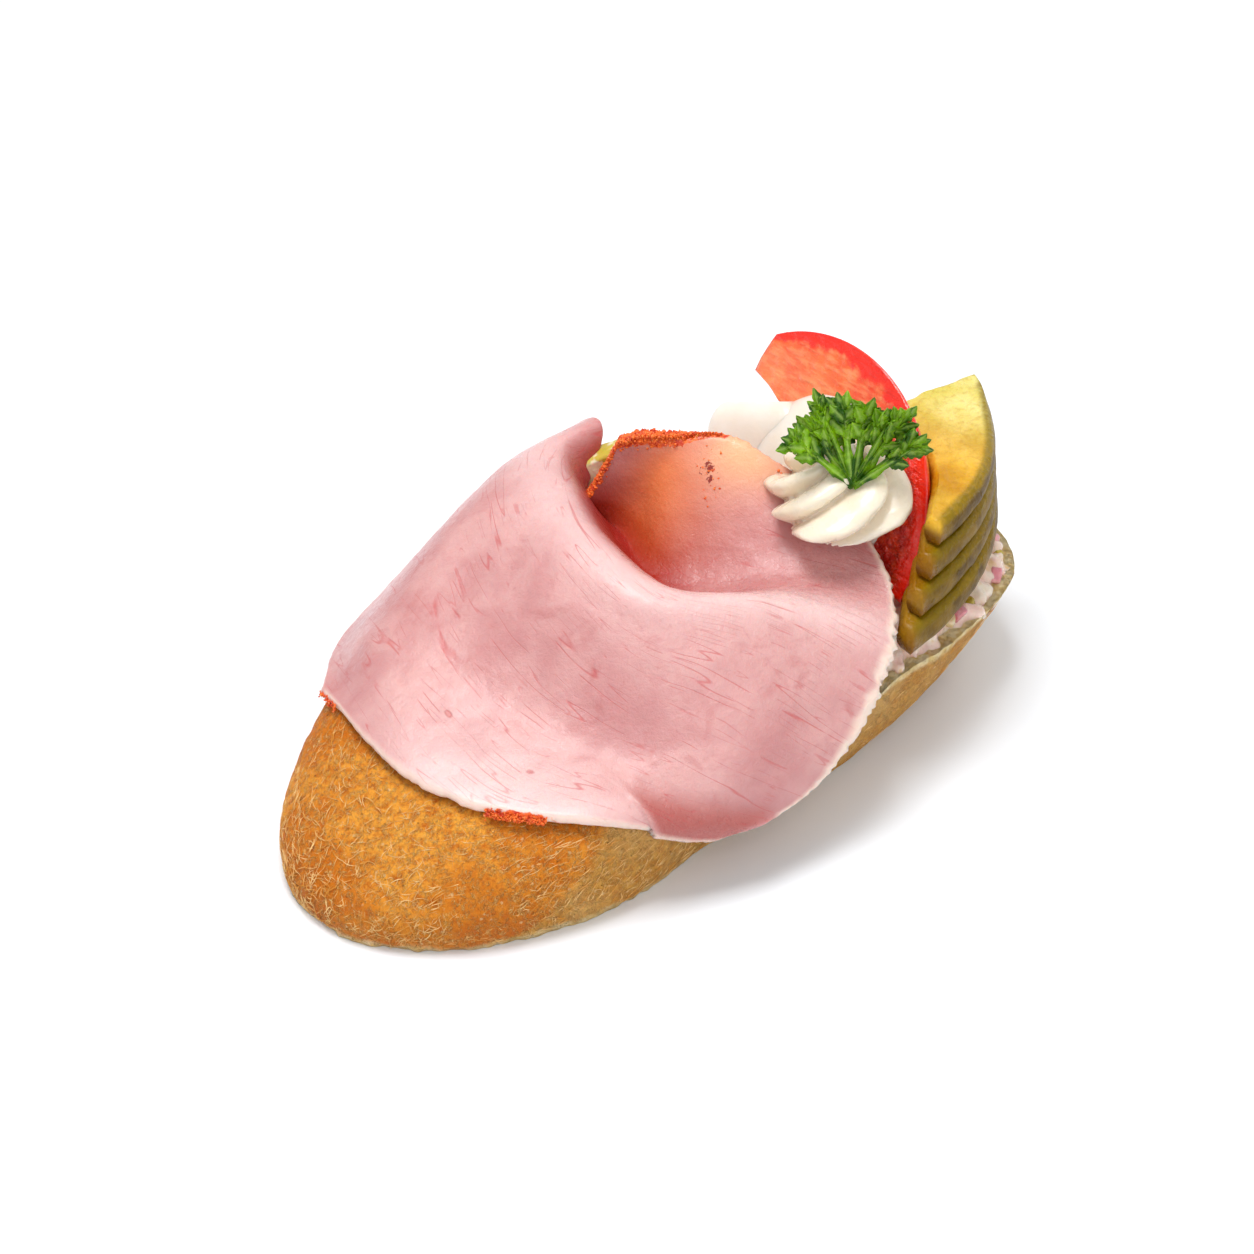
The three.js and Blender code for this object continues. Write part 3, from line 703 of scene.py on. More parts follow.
# %% Ham shape
HAM_THICKNESS = 1.7
HAM_ACROSS_MM = 92.0  # nominal length from the left rim to the right rim
HAM_ALONG_MM = 84.0  # nominal length from the hem to the paprika rim
HAM_GRID = dict(rows=208, columns=224)
HAM_GUIDES = np.array(
    [
        [  # the hem, on the crust
            (-36.5, 28.5, 15), (-41.5, 14, 16.7), (-43.8, 1, 16.6), (-40.8, -10.2, 16.4),
            (-33, -21.5, 15.7), (-22.5, -29.2, 10.8), (-15.5, -33, 9.3),
        ],
        [  # the skirt
            (-21, 37.5, 12.5), (-26, 25, 22), (-27, 11, 22), (-26, -3, 20.5),
            (-21.5, -16.3, 19.4), (-15, -29, 18.8), (-4, -37, 12.2),
        ],
        [  # the brow of the fold
            (7, 38, 19), (-2, 28.5, 31), (-8, 17.5, 33), (-12.5, 3, 33),
            (-12, -11, 31), (-3, -25.5, 27.5), (7, -37.7, 19.5),
        ],
        [  # the crest of the fold
            (20.5, 24.5, 34.5), (11, 24, 34.5), (3, 15.5, 35.3), (-4, 3, 35.5),
            (-5.5, -10.5, 33.8), (6, -22.5, 30.6), (14.5, -35.8, 25),
        ],
        [  # the bottom of the hollow
            (10, 20, 25.5), (12, 17, 24.6), (11, 11, 24.2), (6, 2, 24.5),
            (7, -7.5, 26), (15, -18, 29.2), (23.5, -29, 28.6),
        ],
        [  # the rim that leans on the egg
            (13.5, 14, 39.5), (15, 11, 41), (17, 7.5, 41.3), (19.5, 4.5, 41.3),
            (22.5, -0.5, 41), (25, -8, 38.5), (27.5, -18, 33.5),
        ],
    ]
)
HAM_WAVES = ((0.35, 11, 14), (0.14, 3.4, 15), (0.05, 1.3, 16))
TEAR = dict(start=0.752, end=0.665, reach=0.115, lift=0.9)  # the corner torn at the hem


def ham_point(u, v):
    """Middle of the sheet: u runs from the left rim to the right, v from hem to rim."""
    guides, stations = HAM_GUIDES.shape[:2]
    across = smooth_line(np.eye(stations), u)
    along = smooth_line(np.eye(guides), v)
    return np.einsum("...g,gsk,...s->...k", along, HAM_GUIDES, across)


def ham_sheet(rows, columns):
    """Grid of points, normals and slice coordinates of the sheet, with its nibbled rim."""
    v, u = np.meshgrid(np.linspace(0, 1, rows), np.linspace(0, 1, columns), indexing="ij")
    flat = np.stack([u * HAM_ACROSS_MM, v * HAM_ALONG_MM, np.zeros_like(u)], -1)
    edge_u = np.abs(2 * u - 1) ** 30 * np.sign(u - 0.5)
    edge_v = np.abs(2 * v - 1) ** 30 * np.sign(v - 0.5)
    nibble = 0.006 * lumps(flat, 1.6, 11) + 0.004 * lumps(flat, 0.8, 12)
    sway = 0.005 * lumps(flat, 7.0, 13)
    u_here = u + edge_u * (nibble * mix(0.2, 0.8, step(0, 1, u)) + sway)
    v_here = v + edge_v * (nibble * 0.25 + sway)
    tear_line = mix(TEAR["start"], TEAR["end"], v / TEAR["reach"])
    lobe = step(0.0, 0.012, u - tear_line) * step(TEAR["reach"], 0.0, v)
    v_here = v_here - 0.018 * lobe * (1 - v) ** 20 * step(1.0, 0.9, u)
    points = ham_point(u_here, v_here)
    normals = grid_normals(points)
    if normals[rows // 8, columns // 2, 2] < 0:
        normals = -normals
    wave = layered_lumps(points, HAM_WAVES)
    damp = step(0.4, 0.62, u) * step(0.6, 0.68, v) * step(0.88, 0.74, v)
    stretched = flat * (0.45, 1.0, 1.0) + 2.0 * lumps(flat, 5, 17)[..., None]
    wave += 0.08 * damp * lumps(stretched, 1.5, 18)
    wave += TEAR["lift"] * (lobe * step(0.0, 0.06, v + 0.03) - 0.35 * step(0.03, 0.0, v))
    lie = step(0, 0.06, v)
    points = points + normals * (wave * mix(0.35, 1.0, lie))[..., None]
    return points, normals, u, v, flat, lobe, damp


def patch(u, v, centre, size):
    """A soft round spot on the sheet, 1 in its middle."""
    return hump(u, centre[0], size[0]) * hump(v, centre[1], size[1])


def ham_solid(points, normals, u, v):
    """The sheet given its thickness, with a rounded rim all the way round."""
    rows, columns = u.shape
    to_rim = np.minimum(np.minimum(u, 1 - u) * HAM_ACROSS_MM, np.minimum(v, 1 - v) * HAM_ALONG_MM)
    round_off = np.sqrt(1 - (1 - np.clip(to_rim / 0.9, 0, 1)) ** 2)
    half_thick = HAM_THICKNESS / 2 * mix(0.25, 1.0, round_off)
    top = points + normals * half_thick[..., None]
    under = points - normals * half_thick[..., None]
    layer = rows * columns
    faces = grid_faces(rows, columns) + grid_faces(rows, columns, start=layer)
    rim = list(range(columns))
    rim += [r * columns + columns - 1 for r in range(1, rows)]
    rim += [(rows - 1) * columns + c for c in range(columns - 2, -1, -1)]
    rim += [r * columns for r in range(rows - 2, 0, -1)]
    for k, a in enumerate(rim):
        b = rim[(k + 1) % len(rim)]
        faces.append([a, b, b + layer, a + layer])
    return np.concatenate([top.reshape(-1, 3), under.reshape(-1, 3)]), faces


def ham_masks(u, v, flat, lobe, damp):
    """Where the slice gets painted highlight (pale), painted shade (the deep red fold) or a
    painted glow, and where it is spiced, fat, wet, torn, burnt or cream.
    """
    wander = lumps(flat, 9, 21)
    # pale is painted highlight: where the flat hem faces the top light, along the crest, and as
    # sheen on the wet fold at the right
    pale = step(0.2, 0.0, v + 0.05 * wander) * step(0.78, 0.6, u)
    pale = pale * step(0.12, 0.4, u) + 0.65 * hump(v, 0.54, 0.09) * step(0.95, 0.6, u)
    pale = pale + patch(u, v, (0.85, 0.625), (0.2, 0.075))
    # fold is painted shade: deep red in the shaded hollow, strongest at the left where it is
    # deepest, fading to pink where it opens
    fold = step(0.58, 0.68, v) * step(0.97, 0.8, v) * step(0.72, 0.4, u + 0.04 * wander)
    fold = 0.9 * fold + 0.4 * step(0.68, 0.8, v) * step(0.95, 0.6, u) * step(1.02, 0.85, v)
    band = mix(0.004, 0.015, step(0.66, 0.3, u))
    spice = step(2.2, 0.2, (1 - v) / band) * step(0.72, 0.6, u)
    spice = np.maximum(spice, step(0.022, 0.0, u) * step(0.8, 0.86, v))
    spice = np.maximum(spice, 0.9 * step(0.012, 0.0, v) * hump(u, 0.53, 0.05) ** 0.5)
    # painted glow: the thin upper flap painted orange as if light shone through it
    glow = 0.85 * patch(u, v, (0.4, 0.94), (0.22, 0.09))
    glow += 0.5 * patch(u, v, (0.72, 0.99), (0.13, 0.05))
    burnt = 0.52 * patch(u, v, (0.6, 0.955), (0.05, 0.03))
    burnt += 0.5 * patch(u, v, (0.82, 0.97), (0.02, 0.012))
    cream = 0.8 * patch(u, v, (0.7, 0.985), (0.12, 0.035))
    fat = step(1.9, 0.5, (1 - u) * HAM_ACROSS_MM + 0.5 * lumps(flat, 3, 22)) * step(0.02, 0.12, v)
    fat = np.maximum(fat, 0.75 * step(1.2, 0.2, v * HAM_ALONG_MM) * step(0.0, 0.02, u))
    fat = np.maximum(fat, 0.5 * step(0.8, 0.0, u * HAM_ACROSS_MM))
    wet = damp + 0.8 * lobe * step(0.1, 0.02, v)
    torn = step(0.0, 0.03, u - 0.755 + 0.85 * v) * step(0.15, 0.05, v) * step(1.0, 0.94, u)
    masks = dict(pale=pale, fold=fold, glow=glow, spice=spice, fat=fat, wet=wet, lobe=torn)
    masks.update(burnt=burnt, cream=cream)
    return {name: np.tile(np.clip(mask, 0, 1).ravel(), 2) for name, mask in masks.items()}


def make_ham():
    """The slice, which also carries its flat coordinates for the veins."""
    points, normals, u, v, flat, lobe, damp = ham_sheet(HAM_GRID["rows"], HAM_GRID["columns"])
    solid = ham_solid(points, normals, u, v)
    masks = ham_masks(u, v, flat, lobe, damp)
    piece = make_piece("ham_fold", solid, ham_finish(), ["ham_slice"], masks)
    sheet = piece.data.attributes.new("sheet", "FLOAT_VECTOR", "POINT")
    doubled = np.concatenate([flat.reshape(-1, 3), flat.reshape(-1, 3)])
    sheet.data.foreach_set("vector", doubled.astype(np.float32).ravel())


make_ham()

# %% [markdown]
# ## Paprika crust
# The rim that leans on the egg was rolled in paprika, which sits on it as coarse orange-red
# crumbs. Each crumb is a small bent ball at a seeded random place along the rim, so the
# crust has real depth. A painted band would look flat against the smooth ham.

# %% Crumbs


def ball(rounds):
    """Points and faces of a unit ball made of near-equal triangles."""
    shell = bmesh.new()
    bmesh.ops.create_icosphere(shell, subdivisions=rounds, radius=1)
    points = np.array([v.co for v in shell.verts])
    faces = [[v.index for v in f.verts] for f in shell.faces]
    shell.free()
    return points, faces


CRUMB_BALL = ball(1)
PAPRIKA_END = 0.62  # how far along the rim the thick paprika goes
RIM_GRAINS = 2300
CORNER_GRAINS = 1100
STRAY_GRAINS = 60
STRAY_SPOTS = [(0.58, 3.4), (0.63, 5.6), (0.61, 4.6), (0.82, 3.0)]  # along, and in from the rim
HEM_STREAKS = ((0.47, 0.58, 420), (-0.005, 0.05, 120))  # from, to, and how many grains


def random_turn(dice):
    """A random rotation matrix."""
    q, _ = np.linalg.qr(dice.normal(size=(3, 3)))
    return q * np.sign(np.linalg.det(q))


def crumb(dice, centre, size, template=None, uneven=0.35):
    """One irregular grain of about that radius."""
    points, faces = template or CRUMB_BALL
    bent = points * (1 + uneven * dice.uniform(-1, 1, (len(points), 1)))
    bent = bent * dice.uniform(0.6, 1.2, 3) * size
    return bent @ random_turn(dice).T + centre, faces


def paprika_finish():
    f = Finish("paprika", Specular_IOR_Level=0.6, Subsurface_Weight=0.1)
    f.shader.inputs["Subsurface Scale"].default_value = 0.6 * MM
    tone = f.noise(1.1, detail=3.0)
    base = f.two_tone(tone, 0.35, 0.6, "d43a0a", "fb7424")
    base = f.blend(f.between(f.noise(2.6), 0.58, 0.7), base, tint("fb9a48"))
    rough = f.between(f.noise(1.7), 0.4, 0.6, 0.3, 0.6)
    return f.finish(base, rough, f.bump(f.noise(4.0, detail=3.0), 0.15))


def rim_point(dice, u, depth, out):
    """A place on the ham, some millimetres in from the back rim and off its surface."""
    v = 1 - depth / HAM_ALONG_MM
    here = ham_point(np.array([u]), np.array([v]))[0]
    slope_u = ham_point(np.array([u + NEARBY]), np.array([v]))[0] - here
    slope_v = ham_point(np.array([u]), np.array([v + NEARBY]))[0] - here
    return here + unit(np.cross(slope_u, slope_v)) * out


def rim_crumbs():
    """Paprika: a thick band along the upper rim, the left rim, and a few stray clusters."""
    dice = np.random.default_rng(31)
    parts = []
    for _ in range(RIM_GRAINS):
        u = dice.uniform(-0.005, PAPRIKA_END)
        band = 1.15 * step(PAPRIKA_END, 0.3, u) + 0.3
        depth = dice.exponential(band * 0.42) - 0.35
        if depth > band * 1.5:
            continue
        out = dice.uniform(-0.8, 0.95)
        size = dice.uniform(0.12, 0.32) * (0.6 + 0.4 * step(0.6, 0.3, u))
        parts.append(crumb(dice, rim_point(dice, u, depth, out), size))
    for _ in range(CORNER_GRAINS):
        depth = dice.uniform(0, 17)
        across = dice.exponential(0.9) - 0.35
        u = across / HAM_ACROSS_MM
        place = rim_point(dice, u, depth, dice.uniform(-0.85, 0.95))
        parts.append(crumb(dice, place, dice.uniform(0.14, 0.34)))
    for _ in range(STRAY_GRAINS):
        centre_u, centre_depth = dice.choice(STRAY_SPOTS)
        u = centre_u + dice.normal() * 0.012
        place = rim_point(dice, u, centre_depth + dice.normal() * 0.8, 0.9)
        parts.append(crumb(dice, place, dice.uniform(0.1, 0.3)))
    return parts


def hem_crumbs():
    """Streaks of paprika left on the hem and at the left corner."""
    dice = np.random.default_rng(32)
    parts = []
    for start, end, count in HEM_STREAKS:
        for _ in range(count):
            u = np.array([dice.uniform(start, end)])
            v = np.array([dice.normal() * 0.0035 - 0.003])
            place = ham_point(u, v)[0] + (0, 0, dice.uniform(-0.3, 0.4))
            parts.append(crumb(dice, place, dice.uniform(0.1, 0.24)))
    return parts


make_piece("paprika_crumbs", gather(rim_crumbs() + hem_crumbs()), paprika_finish())

# %% [markdown]
# ## Potato and ham salad
# A wet, lumpy spread of mayonnaise, potato, ham and pickle. Metaballs would do, but they
# are hard to steer, so a low core and hundreds of small bent balls are melted together by
# a voxel remesh. Cubes of the real bits are then pressed into it where it shows.

# %% Salad finish


def salad_finish():
    """Pinkish cream: glossy, a little uneven, with yellow and pink stains."""
    f = Finish(
        "salad_cream",
        Subsurface_Weight=0.35,
        Subsurface_Radius=(1.0, 0.7, 0.5),
        Subsurface_Scale=1.5 * MM,
        Specular_IOR_Level=0.6,
        Coat_Weight=0.4,
        Coat_Roughness=0.12,
    )
    broad = f.noise(0.25, detail=3.0)
    base = f.two_tone(broad, 0.35, 0.65, "f8cfc2", "fdebd8")
    base = f.blend(f.between(f.noise(0.33, detail=2.0), 0.6, 0.72), base, tint("e9c38a"))
    pink = f.between(f.noise(0.4, detail=2.0, twist=1.0), 0.63, 0.75)
    base = f.blend(pink, base, tint("dd94a0"))
    height = f.noise(0.9, detail=3.0)
    rough = f.between(f.noise(0.8), 0.4, 0.6, 0.18, 0.4)
    return f.finish(base, rough, f.bump(height, 0.25))


def bit_finish(name, dark, light, gloss):
    """A cut cube of something soft: two tones, fine grain and a wet coat."""
    f = Finish(name, Subsurface_Weight=0.3, Coat_Weight=0.3, Coat_Roughness=0.15)
    f.shader.inputs["Subsurface Scale"].default_value = 1.2 * MM
    base = f.two_tone(f.noise(0.6, detail=4.0), 0.35, 0.65, dark, light)
    rough = f.between(f.noise(1.5), 0.4, 0.6, gloss, gloss + 0.25)
    return f.finish(base, rough, f.bump(f.noise(1.6, detail=4.0), 0.2))


# %% Salad shape
SALAD_LEVEL = 20.5
SALAD_SHARE = 0.975
SALAD_MOUND = dict(x=-2, y=4, height=5.5, width=17)
SALAD_FOLD = dict(x=-6, top=22.4)  # the fold of the ham comes down to here
SALAD_BLOBS = 2300
SALAD_VOXEL = 0.5
BLOB_SIZE = (0.8, 2.1)
BLOB_BALL = ball(2)
CHUNK_BALL = ball(3)
CORE_RINGS = (  # share of the reach, and how far below the surface; None is the crumb
    (0.5, None), (0.95, None), (0.97, 2.0), (0.93, 0.9), (0.8, 0.6), (0.4, 0.6),
)
SALAD_BITS = (  # name, seed, count, sizes, nearest the middle, two colours, gloss
    ("potato_bits", 44, 26, (1.8, 3.0), 0.7, "boiled_potato", "e6cf9c", "f6ead0", 0.35),
    ("ham_bits", 45, 42, (1.4, 2.6), 0.72, "ham_cubes", "d9828c", "eeb3b4", 0.3),
    ("pickle_bits", 46, 34, (1.0, 2.0), 0.72, "pickle_cubes", "a58a1c", "cdb747", 0.2),
)
BITS_REACH = 0.98


def salad_height(x, y, share):
    """Top of the spread: level, heaped under the ham, lower at its edge."""
    mound = hump(x, SALAD_MOUND["x"], SALAD_MOUND["width"])
    mound = mound * hump(y, SALAD_MOUND["y"], SALAD_MOUND["width"]) * SALAD_MOUND["height"]
    return SALAD_LEVEL + mound - 1.6 * step(0.86, 1, share)


def salad_place(angle, share):
    """A place on the spread: share is 0 at its middle and 1 at its edge."""
    x, y = oblong(TOP_FACE, angle)
    reach = SALAD_SHARE * share
    return mix(TOP_FACE["x"], x, reach), mix(TOP_FACE["y"], y, reach)


def salad_core():
    """The smooth core, which starts just inside the bread."""
    angle = np.linspace(0, 2 * math.pi, 160, endpoint=False)
    rings = []
    for share, sink in CORE_RINGS:
        x, y = salad_place(angle, share)
        z = np.full_like(x, BREAD_HEIGHT - 0.4)
        if sink is not None:
            z = salad_height(x, y, share) - sink
        rings.append(np.stack([x, y, z], -1))
    return tube(np.array(rings))


def salad_blobs():
    """The core and the blobs of cream on it, which droop a little at the edge."""
    dice = np.random.default_rng(41)
    parts = [salad_core()]
    for _ in range(SALAD_BLOBS):
        angle = dice.uniform(0, 2 * math.pi)
        share = dice.uniform(0.02, 1.0) ** 0.5
        x, y = salad_place(angle, share)
        z = salad_height(x, y, share) - dice.uniform(-0.2, 2.6) * step(0.8, 1.0, share) - 0.5
        size = dice.uniform(*BLOB_SIZE) * (1.15 - 0.45 * step(0.85, 1.0, share))
        if x > SALAD_FOLD["x"]:
            z = min(z, SALAD_FOLD["top"] - size)
        parts.append(crumb(dice, np.array([x, y, z]), size, BLOB_BALL, 0.12))
    return parts


def chunk(dice, centre, size, squareness=0.45):
    """A cut cube with soft corners."""
    points, faces = CHUNK_BALL
    cube = np.sign(points) * np.abs(points) ** squareness
    cube = cube * dice.uniform(0.7, 1.2, 3) * size / 2
    cube = cube + 0.06 * size * lumps(points + centre, 0.7, 43)[:, None] * points
    return cube @ random_turn(dice).T + centre, faces


def salad_bits(seed, count, size, low):
    """Bits pressed into the spread, from that share of its reach out to its edge."""
    dice = np.random.default_rng(seed)
    parts = []
    for _ in range(count):
        angle = dice.uniform(0, 2 * math.pi)
        share = dice.uniform(low, BITS_REACH)
        x, y = salad_place(angle, share)
        z = salad_height(x, y, share) - dice.uniform(0.3, 1.6)
        parts.append(chunk(dice, np.array([x, y, z]), dice.uniform(*size)))
    return parts


salad_solid = fused("salad_melt", salad_blobs(), SALAD_VOXEL, 2)
make_piece("salad_spread", salad_solid, salad_finish(), ["salad"])
for name, seed, count, size, low, *look in SALAD_BITS:
    make_piece(name, gather(salad_bits(seed, count, size, low)), bit_finish(*look))

# %% [markdown]
# ## Egg
# Two pieces of boiled egg white stand behind the ham: the rounded outside of a half, and a
# block with a cut corner. Egg white is smooth and slightly see-through, so its softness
# comes from light that scatters inside, with only a faint ripple on the surface.

# %% Egg


def egg_finish():
    f = Finish(
        "boiled_egg_white",
        Subsurface_Weight=0.5,
        Subsurface_Radius=(1.0, 0.85, 0.7),
        Subsurface_Scale=2.0 * MM,
        Coat_Weight=0.3,
        Coat_Roughness=0.2,
    )
    base = f.two_tone(f.noise(0.09, detail=2.0), 0.35, 0.65, "ece2d2", "f4eee4")
    rough = f.between(f.noise(0.5, detail=3.0), 0.4, 0.6, 0.28, 0.42)
    return f.finish(base, rough, f.bump(f.noise(0.35, detail=3.0), 0.12))


EGG_CAP = dict(x=33.5, y=-10.5, z=31.5, across=14.5, tall=13.5, deep=8)
EGG_BLOCK = dict(x=31.5, y=1.5, z=31, long=17, deep=7, tall=19, corner=2.6, roll=-21)
LEAN = 0.5  # run over rise of the things that lean back on the gherkin


def turned(points, axis, angle):
    """Points turned about the x or the y axis, as a right hand curls round it."""
    c, s = math.cos(angle), math.sin(angle)
    x, y, z = points[..., 0], points[..., 1], points[..., 2]
    if axis == "x":
        return np.stack([x, c * y - s * z, s * y + c * z], -1)
    return np.stack([c * x + s * z, y, -s * x + c * z], -1)


def egg_dome():
    """The rounded outside of an egg, stretched three ways and leaned back."""
    rise, around = np.meshgrid(
        np.linspace(0.02, math.pi - 0.02, 90), np.linspace(0, 2 * math.pi, 150, endpoint=False),
        indexing="ij",
    )
    dome = np.stack(
        [np.sin(rise) * np.cos(around), np.sin(rise) * np.sin(around), np.cos(rise)], -1
    )
    dome = dome * (1 + 0.012 * lumps(dome, 0.5, 51))[..., None]
    dome = dome * (EGG_CAP["deep"], EGG_CAP["across"], EGG_CAP["tall"])
    dome = turned(dome, "y", math.atan(LEAN))
    return tube(dome + (EGG_CAP["x"], EGG_CAP["y"], EGG_CAP["z"]))


def egg_block():
    """A block with soft corners, rolled and leaned back."""
    share, around = np.meshgrid(
        np.linspace(0, 1, 60), np.linspace(0, 2 * math.pi, 140, endpoint=False), indexing="ij"
    )
    inset = EGG_BLOCK["corner"] * np.abs(2 * share - 1) ** 5
    c, s = np.cos(around), np.sin(around)
    a = (EGG_BLOCK["long"] / 2 - inset) * np.sign(c) * np.abs(c) ** 0.42
    b = (EGG_BLOCK["deep"] / 2 - inset * 0.6) * np.sign(s) * np.abs(s) ** 0.55
    block = np.stack([b, -a, mix(-0.5, 0.5, share) * EGG_BLOCK["tall"]], -1)
    block = block + 0.2 * lumps(block, 5, 52)[..., None]
    block = turned(block, "x", math.radians(EGG_BLOCK["roll"]))
    block = turned(block, "y", math.atan(LEAN))
    return tube(block + (EGG_BLOCK["x"], EGG_BLOCK["y"], EGG_BLOCK["z"]))


EGG_WHITE = egg_finish()
make_piece("egg_half", egg_dome(), EGG_WHITE, ["egg_cap"])
make_piece("egg_corner", egg_block(), EGG_WHITE, ["egg_wedge"])

# %% [markdown]
# ## Cheese
# A small wedge of cheese stands in the fold, and only its corner looks out. It is a stack
# of rounded oblongs, which get wider and then narrower as they rise. A cube with bevelled
# edges would look cut by a machine, so the faces are made a little uneven. Its top edge has
# a mustard-yellow rind.

# %% Cheese


def cheese_finish():
    f = Finish("cheese", Subsurface_Weight=0.35, Coat_Weight=0.2)
    f.shader.inputs["Subsurface Scale"].default_value = 1.5 * MM
    edge = f.mask("edge")
    base = f.two_tone(f.noise(0.3, detail=3.0), 0.35, 0.65, "f0dcae", "f8ecd0")
    stain = f.math("MULTIPLY", edge, f.between(f.noise(0.5, detail=2.0), 0.3, 0.5))
    base = f.blend(stain, base, tint("c9b43a"))
    return f.finish(base, 0.4, f.bump(f.noise(0.9, detail=4.0), 0.2))


CHEESE = dict(x=17.6, y=20.6, z=21.2, height=11.4, width=7.5, deep=4)
CHEESE_WIDTHS = ((0, 0.6, 0.97, 1), (0.6, 1, 0.8, 0.72))  # how high up, and share of the width
ACROSS_VIEW = np.array([0.643, -0.766, 0.0])  # to the right, as the camera sees it
INTO_VIEW = np.array([0.766, 0.643, 0.0])  # level, and away from the camera


def cheese_wedge():
    """Rings of the wedge, from its foot to its top."""
    share, around = np.meshgrid(
        np.linspace(0, 1, 40), np.linspace(0, 2 * math.pi, 80, endpoint=False), indexing="ij"
    )
    c, s = np.cos(around), np.sin(around)
    wide = np.interp(share, *CHEESE_WIDTHS) * CHEESE["width"] / 2
    deep = np.interp(share, [0, 0.97, 1], [1, 1, 0.8]) * CHEESE["deep"] / 2
    a = wide * np.sign(c) * np.abs(c) ** 0.35
    b = deep * np.sign(s) * np.abs(s) ** 0.35
    points = a[..., None] * ACROSS_VIEW + b[..., None] * INTO_VIEW
    points[..., 2] = share * CHEESE["height"] + 0.5 * a * step(0.8, 1, share)
    points = points + 0.15 * lumps(points, 2, 55)[..., None]
    return points + (CHEESE["x"], CHEESE["y"], CHEESE["z"])


cheese_rings = cheese_wedge()
cheese_edge = step(0.78, 0.92, (cheese_rings[..., 2] - CHEESE["z"]) / CHEESE["height"])
cheese_edge = np.append(cheese_edge.ravel(), [0, 1])
make_piece(
    "cheese_corner", tube(cheese_rings), cheese_finish(), ["cheese_wedge"],
    dict(edge=cheese_edge),
)

# %% [markdown]
# ## Tomato
# A crescent of tomato wall leans back on the gherkin. Its section is a closed loop: the
# cut face, the thin tough skin, the back and the wet inside. That loop is swept along the
# arc of the fruit. Near the foot the cut face turns to soft pulp, which is rougher and
# redder, with small sharp highlights.

# %% Tomato finish


def tomato_finish():
    f = Finish(
        "tomato",
        Subsurface_Weight=0.35,
        Subsurface_Radius=(1.0, 0.25, 0.1),
        Subsurface_Scale=1.6 * MM,
        Specular_IOR_Level=0.6,
        Coat_Weight=0.35,
        Coat_Roughness=0.1,
    )
    skin, pulp, pale = f.mask("skin"), f.mask("pulp"), f.mask("flesh")
    broad = f.noise(0.2, detail=3.0)
    fibre = f.noise(0.8, detail=4.0, at=f.stretched(f.mm, (1.0, 0.35, 1.6)))
    flesh = f.two_tone(broad, 0.35, 0.65, "f04414", "fa7034")
    flesh = f.blend(f.between(fibre, 0.4, 0.65, 0.0, 0.45), flesh, tint("ffb07a"))
    flesh = f.blend(f.math("MULTIPLY", pale, 0.4), flesh, tint("ffa870"))
    wet = f.two_tone(f.noise(0.6, detail=3.0), 0.4, 0.62, "c01606", "e8421a")
    base = f.blend(pulp, flesh, wet)
    ragged = f.between(f.noise(0.5, detail=4.0), 0.3, 0.7, -0.25, 0.25)
    rind = f.math("ADD", f.mask("rind"), ragged)
    base = f.blend(f.between(rind, 0.15, 0.75), base, tint("f42408"))
    base = f.blend(skin, base, f.two_tone(broad, 0.4, 0.6, "e01404", "f42a0a"))
    seeds = f.noise(0.95, detail=3.0, rough=0.6)
    ridges = f.bump(fibre, 0.35, under=f.bump(f.math("MULTIPLY", seeds, pulp), 1.0))
    rough = f.between(f.noise(0.8, detail=2.0), 0.4, 0.6, 0.12, 0.3)
    return f.finish(base, rough, ridges)


# %% Tomato shape
TOMATO_FOOT = np.array([28.0, 4.0, 20.0])
TOMATO = dict(
    centre=(-9, 9.1), radius=25.9, start=55, end=189, inner_start=41.6, thickness=7, slope=4.9
)
TOMATO_FLESH = ((0, 0.068, 0.2, 0.35, 1), (4.5, 10.5, 14.5, 17, 17))  # along, and width
TOMATO_TURN = math.radians(10)
TOMATO_GRID = dict(along=150, face=46, wall=14)


def on_tomato(side, up, back):
    """From the plane of the cut face to the sandwich: leaning back and turned a little."""
    points = turned(np.stack([back, side, up], -1), "y", math.atan(LEAN))
    c, s = math.cos(TOMATO_TURN), math.sin(TOMATO_TURN)
    x, y, z = np.moveaxis(points, -1, 0)
    return np.stack([c * x + s * y, c * y - s * x, z], -1) + TOMATO_FOOT


